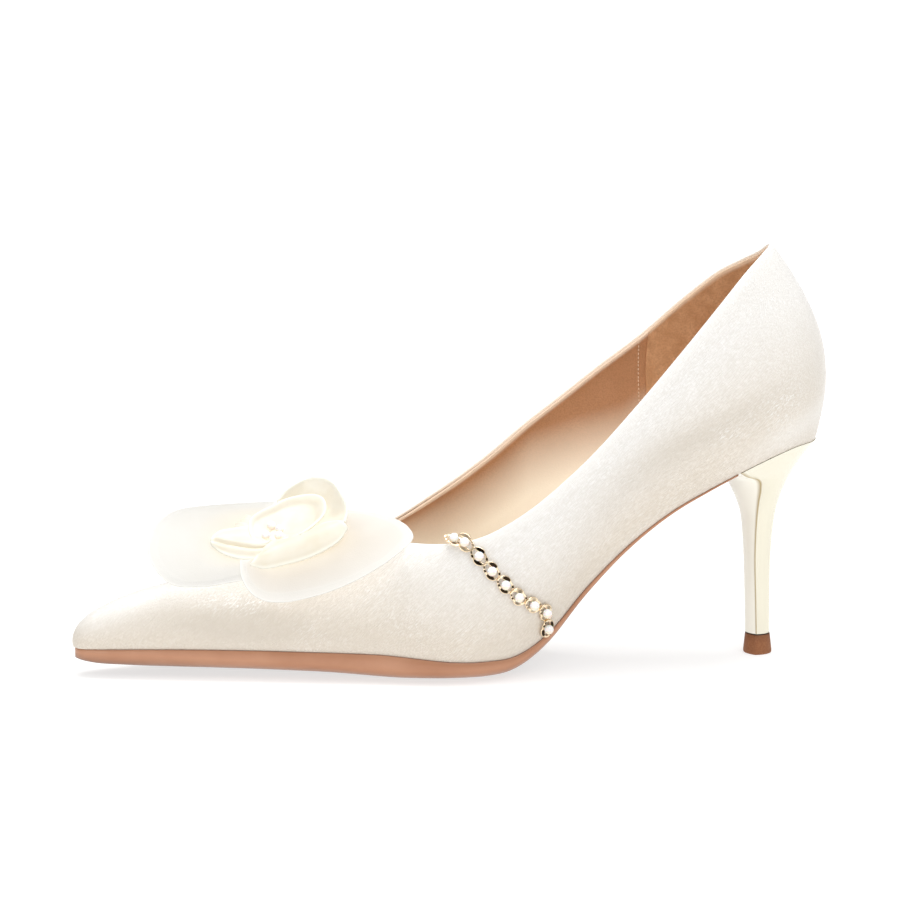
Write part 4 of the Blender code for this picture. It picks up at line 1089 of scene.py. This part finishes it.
organza_cloths = [
    organza_cloth("white_organza", (0.625, 0.60, 0.555), (0.65, 0.628, 0.59), (0.66, 0.645, 0.615)),
    organza_cloth("hemmed_organza", (0.605, 0.55, 0.48), (0.65, 0.597, 0.53), (0.705, 0.683, 0.645)),
]
for petal, organza in zip(ORGANZA_PETALS, organza_cloths):
    rows = []
    for heading, reach, raised in zip(petal.headings, petal.reaches, petal.raises):
        line = [(ORGANZA_ROOT + (reach - ORGANZA_ROOT) * share, petal.root + raised * share**2)
                for share in ORGANZA_SHARES]
        rows.append([(*headed(heading, out), height) for out, height in line])
    middle, faces, outs, from_rim = petal_grid(rows)
    inside = clamped(from_rim / HEM_WIDTH)
    hem = clamped((HEM_WIDTH - from_rim) / HEM_BLUR)
    lip = np.exp(-(from_rim / LIP_WIDTH) ** 2)
    puff = ORGANZA_PUFF * np.sin(np.pi * outs) * inside
    add_petal(petal.name, petal.name + "_cloth", organza, middle, faces,
              over=ORGANZA_EDGE + puff + HEM_RISE * hem * inside,
              under=ORGANZA_EDGE + ORGANZA_UNDER_SHARE * puff, swell=ORGANZA_EDGE,
              edge_cuts=ORGANZA_EDGE_CUTS, marks={"hem": hem, "lip": lip, "outs": outs})

# The rose. Four petals of soft cream satin are folded and sewn round the heart: one to the toe with
# sharp folds, one in front rolled over, one standing behind and a cupped one inside it.
# Each row runs from the heart to the rim through (toe-ward, near-ward, raised) places.
TOE_FOLDS = [
    [(5.0, -3.0, 1.2), (8.0, -2.6, 1.9), (13.0, -1.7, 2.0), (17.0, -0.9, 2.0), (19.2, 0.6, 1.8)],
    [(4.5, -0.5, 0.9), (8.0, 0.2, 1.4), (13.0, 0.6, 1.4), (17.0, 0.8, 1.6), (19.6, 1.2, 1.7)],
    [(3.0, 3.6, 1.6), (7.4, 4.2, 2.2), (14.4, 2.8, 2.3), (18.0, 1.6, 2.0), (19.9, 1.7, 1.7)],
    [(3.0, 4.2, 0.7), (7.4, 4.7, 1.0), (14.4, 3.4, 1.1), (18.0, 2.3, 1.1), (20.0, 2.0, 1.3)],
    [(4.0, 5.6, 1.2), (7.6, 6.2, 1.8), (13.5, 5.2, 1.9), (17.5, 4.0, 1.6), (20.0, 2.4, 1.2)],
    [(5.0, 7.2, 0.4), (7.7, 7.4, 0.6), (12.4, 7.0, 0.7), (17.0, 5.3, 0.8), (19.7, 2.7, 0.8)],
]
FRONT_FOLDS = [
    [(5.2, 6.2, 0.8), (6.0, 7.2, 1.2), (6.4, 8.4, 1.9), (7.0, 9.0, 1.9), (7.8, 9.5, 1.5), (8.4, 9.6, 1.0)],
    [(2.2, 3.4, 1.5), (3.0, 5.6, 1.8), (3.6, 7.6, 2.9), (3.9, 8.9, 3.0), (4.2, 10.2, 2.2), (4.4, 10.7, 1.0)],
    [(-0.4, 3.0, 1.7), (-0.8, 4.7, 2.3), (-1.1, 6.5, 3.5),
     (-1.3, 8.3, 3.8), (-1.5, 10.2, 2.8), (-1.6, 10.9, 1.6)],
    [(-4.4, 2.6, 2.0), (-6.2, 3.9, 2.9), (-7.9, 5.8, 4.2),
     (-8.8, 8.0, 4.7), (-10.0, 10.6, 3.6), (-10.4, 11.4, 2.2)],
    [(-8.0, 1.4, 1.0), (-11.0, 3.0, 3.0), (-14.0, 5.6, 4.9),
     (-15.8, 7.6, 5.4), (-17.8, 9.8, 4.4), (-18.3, 10.4, 3.2)],
    [(-11.0, 1.0, 1.2), (-15.0, 2.6, 3.4), (-19.0, 5.4, 5.3),
     (-20.4, 6.8, 5.7), (-21.3, 7.7, 5.2), (-21.6, 8.0, 4.4)],
]
BACK_RIM = [(-21.6, 3.0, 3.0), (-22.6, -0.5, 4.2), (-21.0, -3.8, 7.8), (-19.0, -9.2, 8.7),
            (-15.8, -12.8, 9.0), (-11.6, -14.0, 8.9), (-5.4, -11.5, 7.8), (-1.8, -9.5, 5.4)]
BACK_RISES = [(0.0, 0.0), (0.25, 0.10), (0.5, 0.2), (0.7, 0.34), (0.85, 0.62), (1.0, 1.0)]
INNER_RIM = [(-7.7, 5.6, 4.4), (-11.8, 3.6, 4.7), (-15.0, 1.0, 5.0), (-16.0, -2.5, 5.5), (-15.2, -6.8, 5.6),
             (-11.8, -9.7, 5.5), (-5.2, -9.7, 5.3), (-0.8, -8.0, 4.8), (4.6, -5.6, 4.1), (7.2, -4.2, 3.0),
             (7.8, -1.6, 2.1), (7.2, 1.6, 1.7), (4.4, 3.6, 1.8), (0.2, 3.6, 2.0), (-3.9, 3.7, 2.4)]
INNER_RISES = [(0.0, 0.0), (0.2, 0.14), (0.4, 0.30), (0.6, 0.42), (0.78, 0.56), (0.9, 0.84), (1.0, 1.0)]
BACK_ROOT, INNER_ROOT, CUP_LOW = 6.0, 2.4, 1.0
ROSE_HALF = 0.28
ROSE_BEAD, ROSE_BEAD_WIDTH = 0.15, 0.7
ROSE_ROUND, ROSE_EDGE_CUTS = 0.4, 6
ROSE_RIM_HIGHLIGHT_WIDTH = 0.8


def risen(rim, root, rises):
    """Rows of a cupped petal, from a ring round the heart out to its rim."""
    rows = []
    for toward_toe, near, raised in rim:
        reach = math.hypot(toward_toe, near)
        outs = [(root + (reach - root) * share, CUP_LOW + (raised - CUP_LOW) * rise) for share, rise in rises]
        rows.append([(toward_toe * out / reach, near * out / reach, height) for out, height in outs])
    return rows


def facing_up(tree):
    """How far a face looks up (1) or down (-1)."""
    normal = add_node(tree, "ShaderNodeNewGeometry").outputs["Normal"]
    return add_node(tree, "ShaderNodeSeparateXYZ", {0: normal}).outputs[2]


cream_satin, tree, shader = new_material("cream_satin", (0.83, 0.77, 0.63), 0.42)
threads = grain(tree, (0.25, 0.25, 1.0), math.radians(30.0))
clouds = grain(tree, 6.0)
colour = mixed(tree, ranged(tree, clouds, 0.3, 0.7, 0.0, 1.0), (0.71, 0.65, 0.535), (0.75, 0.705, 0.615))
# Painted shade: faces that turn down are painted a warm golden
colour = mixed(tree, ranged(tree, facing_up(tree), -0.4, 0.45, 0.75, 0.0), colour, (0.82, 0.72, 0.53))
# Painted highlight: the rims are painted paler
connect(tree, mixed(tree, mark_of(tree, "rim"), colour, (0.82, 0.80, 0.715)), shader, "Base Color")
connect(tree, bumped(tree, threads, 0.05, 0.4), shader, "Normal")
shader.inputs["Sheen Weight"].default_value = 0.25
shader.inputs["Subsurface Weight"].default_value = 0.25
shader.inputs["Subsurface Radius"].default_value = (1.0, 0.95, 0.85)
shader.inputs["Subsurface Scale"].default_value = 0.0015

for name, rows in (("rose_petal_toe", TOE_FOLDS), ("rose_petal_front", FRONT_FOLDS),
                   ("rose_petal_back", risen(BACK_RIM, BACK_ROOT, BACK_RISES)),
                   ("rose_petal_inner", risen(INNER_RIM, INNER_ROOT, INNER_RISES))):
    middle, faces, outs, from_rim = petal_grid(rows)
    half = ROSE_HALF + ROSE_BEAD * np.exp(-(from_rim / ROSE_BEAD_WIDTH) ** 2)
    rim = np.exp(-(from_rim / ROSE_RIM_HIGHLIGHT_WIDTH) ** 2)
    add_petal(name, name + "_satin", cream_satin, middle, faces, over=half, under=half,
              swell=ROSE_ROUND, edge_cuts=ROSE_EDGE_CUTS, marks={"rim": rim})

# The heart of the flower. A gathered knot of the same satin, sewn through the vamp, carries four
# small pearls, some tiny beads beside them and a tuft of frayed satin scraps on the toe side.
HEART_TOP = 0.5
SEAT_GAP = 0.4
HEART_STEPS = 60
HEART_PROFILE = [(1.0, None), (1.0, -0.6), (0.96, 0.1), (0.85, 0.5), (0.65, 0.75), (0.4, 0.8), (0.15, 0.8)]
PUCKERS, PUCKER_DEPTH, PUCKER_FROM = 4.5, 0.05, 0.3
HEART_PEARL_RADIUS = 1.4
HEART_PEARL_SEAT = 0.6
HEART_PEARLS = [(30, 3.5), (114, 2.5), (189, 1.5), (297, 2.2)]
SCRAPS = [
    [[(6.6, -3.6, 2.2), (8.4, -4.6, 3.0), (10.4, -5.0, 2.6)],
     [(6.6, -2.6, 1.9), (8.6, -3.4, 2.4), (10.8, -3.9, 2.0)]],
    [[(7.2, -3.0, 1.9), (9.6, -3.2, 2.8), (12.0, -3.2, 2.9)],
     [(7.2, -2.0, 1.6), (9.8, -2.2, 2.3), (12.4, -2.4, 2.1)]],
    [[(6.0, -4.8, 2.0), (7.4, -6.0, 3.0), (8.6, -6.6, 2.9)],
     [(6.8, -4.2, 2.0), (8.4, -5.2, 2.6), (9.8, -5.6, 2.2)]],
    [[(8.6, -2.4, 1.8), (11.0, -2.5, 2.6), (13.4, -2.0, 2.4)],
     [(8.6, -1.6, 1.5), (11.2, -1.7, 2.1), (13.6, -1.4, 1.9)]],
]
SCRAP_HALF, SCRAP_EDGE_CUTS = 0.14, 4
Bead = namedtuple("Bead", "heading reach raised radius")
BEADS = [Bead(62, 4.4, 1.3, 0.62), Bead(84, 4.6, 1.2, 0.55), Bead(104, 5.0, 1.4, 0.6),
         Bead(124, 5.4, 1.6, 0.55), Bead(150, 4.2, 1.5, 0.5)]
BALL_STEPS, BALL_RINGS = 28, 18
VAMP_CLIMBS = np.linspace(0.3, 1.0, 40)


def vamp_height(s, y):
    """Height of the vamp's outer face at a place in the plan view."""
    side = MEDIAL if y > 0 else LATERAL
    line = wall_line(row_at(s), side, VAMP_CLIMBS)
    across = np.abs(line[:, 1])
    return float(np.interp(-abs(y), -across, line[:, 2]))


heart_rings = []
for share, raised in HEART_PROFILE:
    line = []
    for i in range(HEART_STEPS):
        heading = 360 * i / HEART_STEPS
        pucker = 0.0
        if share > PUCKER_FROM:
            pucker = PUCKER_DEPTH * abs(math.sin(math.radians(heading * PUCKERS)))
        s, y, top = petal_point(*headed(heading, HEART_RADIUS * share * (1 - pucker)), raised or 0.0)
        line.append((s, y, vamp_height(s, y) + SEAT_GAP if raised is None else top))
    heart_rings.append([tuple(point) for point in in_shoe(line)])
points, faces = loft(heart_rings)
heart = add_piece("gathered_heart", points, faces, cream_satin)
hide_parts("flower_heart")


def ball(centre, radius):
    """Points and faces of a small round ball."""
    up, near = (0.0, 0.0, 1.0), (0.0, -1.0, 0.0)
    return pellet(np.asarray(centre), up, near, radius, radius, BALL_STEPS, BALL_RINGS)


def spot(heading, reach, raised):
    """A place of the flower as a point of the shoe."""
    return in_shoe([petal_point(*headed(heading, reach), raised)])[0]


pearl, tree, shader = new_material("pearl_white", (0.92, 0.90, 0.88), 0.22)
facing = facing_up(tree)
# Painted light: a lilac band of painted sheen round the middle, and a lower half painted warm peach as shade
painted_sheen_band = product(tree, ranged(tree, facing, -0.06, 0.10, 0.0, 1.0), ranged(tree, facing, 0.16, 0.34, 1.0, 0.0))
colour = mixed(tree, ranged(tree, facing, -0.3, 0.05, 1.0, 0.0), (0.97, 0.96, 0.95), (0.92, 0.82, 0.69))
connect(tree, mixed(tree, painted_sheen_band, colour, (0.88, 0.84, 0.88)), shader, "Base Color")
shader.inputs["Coat Weight"].default_value = 0.6
shader.inputs["Coat Roughness"].default_value = 0.12
shader.inputs["Subsurface Weight"].default_value = 0.2
shader.inputs["Subsurface Scale"].default_value = 0.001
seat_height = HEART_TOP + HEART_PEARL_SEAT + HEART_PEARL_RADIUS
points, faces = joined([ball(spot(heading, reach, seat_height), HEART_PEARL_RADIUS)
                        for heading, reach in HEART_PEARLS])
flower_pearls = add_piece("flower_pearls", points, faces, pearl)
flower_pearls.visible_shadow = False
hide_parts(*(f"flower_pearl_{number}" for number in range(1, len(HEART_PEARLS) + 1)))
scraps = []
for scrap in SCRAPS:
    middle, faces = petal_grid(scrap)[:2]
    up = smooth_normals(middle, faces) * SCRAP_HALF
    scraps.append(closed_shell(faces, middle + up, middle - up, SCRAP_HALF, SCRAP_EDGE_CUTS)[:2])
points, faces = joined(scraps)
tuft = add_piece("heart_scraps", points, faces, cream_satin)
points, faces = joined([ball(spot(bead.heading, bead.reach, bead.raised), bead.radius) for bead in BEADS])
beads = add_piece("heart_beads", points, faces, cream_satin)

# The chain. Flat gold curb links run from the topline down the outer side to the feather edge. Each
# is twisted so that two leaf-shaped facets lie flat, and a round pearl is held in its middle. One more
# link laps over the topline.
CHAIN_ROWS = [10.37, 10.05, 9.75, 9.40, 9.00, 8.55, 8.20, 8.15]
CHAIN_CLIMBS = [0.985, 0.86, 0.72, 0.58, 0.44, 0.32, 0.20, 0.07]
LINK_COUNT = len(CHAIN_ROWS)
ROUTE_STEPS, ROUTE_REACH = 241, 4
LINK_LAP = 0.35
LINK_HALF_WIDE = 1.75
LINK_WIRE_RADIUS = 0.45
LINK_WIRE_WIDE, LINK_WIRE_THICK = 0.30, 0.32
LINK_TWIST = 0.32
LEAF_WIDE, LEAF_FULL, LEAF_TAPER, LEAF_BLUNT = 0.54, 3.2, 1.3, 0.6
WIRE_SWELL, WIRE_FLAT, FACET_FROM = 1.3, 0.8, 0.62
LINK_STEPS, WIRE_STEPS = 108, 20
CHAIN_PEARL_RADIUS = 1.5
PEARL_OVER_LINK = 0.9
LEAVES = [(162.0, 82.0), (-18.0, -98.0)]
Notch = namedtuple("Notch", "middle half wide")
NOTCHES = [Notch(40.0, 12.0, 0.16), Notch(212.0, 12.0, 0.0), Notch(240.0, 10.0, 0.16)]
NOTCH_DARK = 1.2
# How dark each link's flat facets are painted, link by link, as painted dark reflections
FACET_DARK = [0.35, 1.0, 1.0, 1.0, 0.55, 0.45, 0.50, 0.9]
END_ROW, END_RISE, END_OUT, END_DARK = 10.66, 0.8, (0.0, -0.45, 0.9), 0.5


def chain_route(at):
    """Place on the upper's outer face along the chain, and its outward normal."""
    row, climb = along(CHAIN_ROWS, at), along(CHAIN_CLIMBS, at)
    nudge = 0.02
    low, here, high = in_shoe(wall_line(row, LATERAL, (climb - nudge, climb, climb + nudge)))
    behind, = in_shoe(wall_line(row - nudge, LATERAL, (climb,)))
    ahead, = in_shoe(wall_line(row + nudge, LATERAL, (climb,)))
    normal = unit(np.cross(high - low, ahead - behind))
    return here, normal if normal[1] < 0 else -normal


def chain_link(centre, ahead, normal, half_long, dark):
    """Points, faces and facet marks of one twisted link with two flat leaves and small dark notches."""
    beside = unit(np.cross(normal, ahead))
    rings, marks = [], []
    for i in range(LINK_STEPS):
        degrees = 360 * i / LINK_STEPS
        turn = math.radians(degrees)
        wide, shade = LINK_WIRE_WIDE, 0.0
        for thin, thick in LEAVES:
            share = 1.0 - (degrees - thick) % 360 / (thin - thick)
            if share > 0.0:
                leaf = LEAF_FULL * share**LEAF_TAPER * (1.0 - share) ** LEAF_BLUNT
                wide, shade = wide + LEAF_WIDE * leaf, leaf
        for notch in NOTCHES:
            gap = abs((degrees - notch.middle + 180) % 360 - 180) / notch.half
            if gap < 1.0:
                wide, shade = wide + notch.wide * (1 - gap**2), NOTCH_DARK * (1 - gap**4)
        middle = (centre + ahead * half_long * math.cos(turn) + beside * LINK_HALF_WIDE * math.sin(turn)
                  - normal * LINK_TWIST * math.cos(turn))
        outward = unit(ahead * LINK_HALF_WIDE * math.cos(turn) + beside * half_long * math.sin(turn))
        for j in range(WIRE_STEPS):
            lean = 2 * math.pi * j / WIRE_STEPS
            flat = max(-1.0, min(WIRE_FLAT, WIRE_SWELL * math.sin(lean)))
            rings.append(middle + outward * wide * math.cos(lean) + normal * LINK_WIRE_THICK * flat)
            marks.append(dark * shade * (math.sin(lean) > FACET_FROM))
    return rings, flipped(grid_faces(LINK_STEPS, WIRE_STEPS, ringed=True, looped=True)), marks


routes = [chain_route(at) for at in np.linspace(0.0, LINK_COUNT - 1, ROUTE_STEPS)]
spots = np.array([place for place, normal in routes])
lengths = run_lengths(spots)
pitch = lengths[-1] / (LINK_COUNT - 1)
link_height = SEAT_GAP + LINK_WIRE_RADIUS
links = []
for number, dark in enumerate(FACET_DARK):
    i = int(np.argmin(np.abs(lengths - pitch * number)))
    here, normal = routes[i]
    ahead = spots[min(i + ROUTE_REACH, len(spots) - 1)] - spots[max(i - ROUTE_REACH, 0)]
    links.append((here + normal * link_height, ahead, normal, dark))
end_spot = in_shoe(wall_line(END_ROW, LATERAL, (1.0,)))[0] + np.array((0.0, 0.0, END_RISE))
links.append((end_spot, links[0][0] - end_spot, unit(np.array(END_OUT)), END_DARK))
link_parts, link_marks, pearl_parts = [], [], []
for centre, ahead, out, dark in links:
    points, faces, marks = chain_link(centre, unit(ahead - out * np.dot(ahead, out)), out,
                                      pitch / 2 + LINK_LAP - LINK_WIRE_WIDE, dark)
    link_parts.append((points, faces))
    link_marks += marks
    pearl_parts.append(ball(centre + out * PEARL_OVER_LINK, CHAIN_PEARL_RADIUS))
chain_gold, tree, shader = new_material("chain_gold", (0.96, 0.78, 0.54), 0.2, 1.0)
# Painted dark reflections: the flat facets are painted near black
facet = ranged(tree, mark_of(tree, "facet"), 0.25, 0.6, 0.0, 1.0)
connect(tree, mixed(tree, facet, (0.97, 0.79, 0.56), (0.035, 0.022, 0.012)), shader, "Base Color")
connect(tree, bumped(tree, grain(tree, 0.8), 0.04, 0.3), shader, "Normal")
points, faces = joined(link_parts)
chain = add_piece("chain_links", points, faces, chain_gold, {"facet": link_marks})
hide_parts(*(f"chain_link_{number}" for number in range(1, LINK_COUNT + 1)))
points, faces = joined(pearl_parts)
chain_pearls = add_piece("chain_pearls", points, faces, pearl)
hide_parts(*(f"chain_pearl_{number}" for number in range(1, LINK_COUNT + 1)))
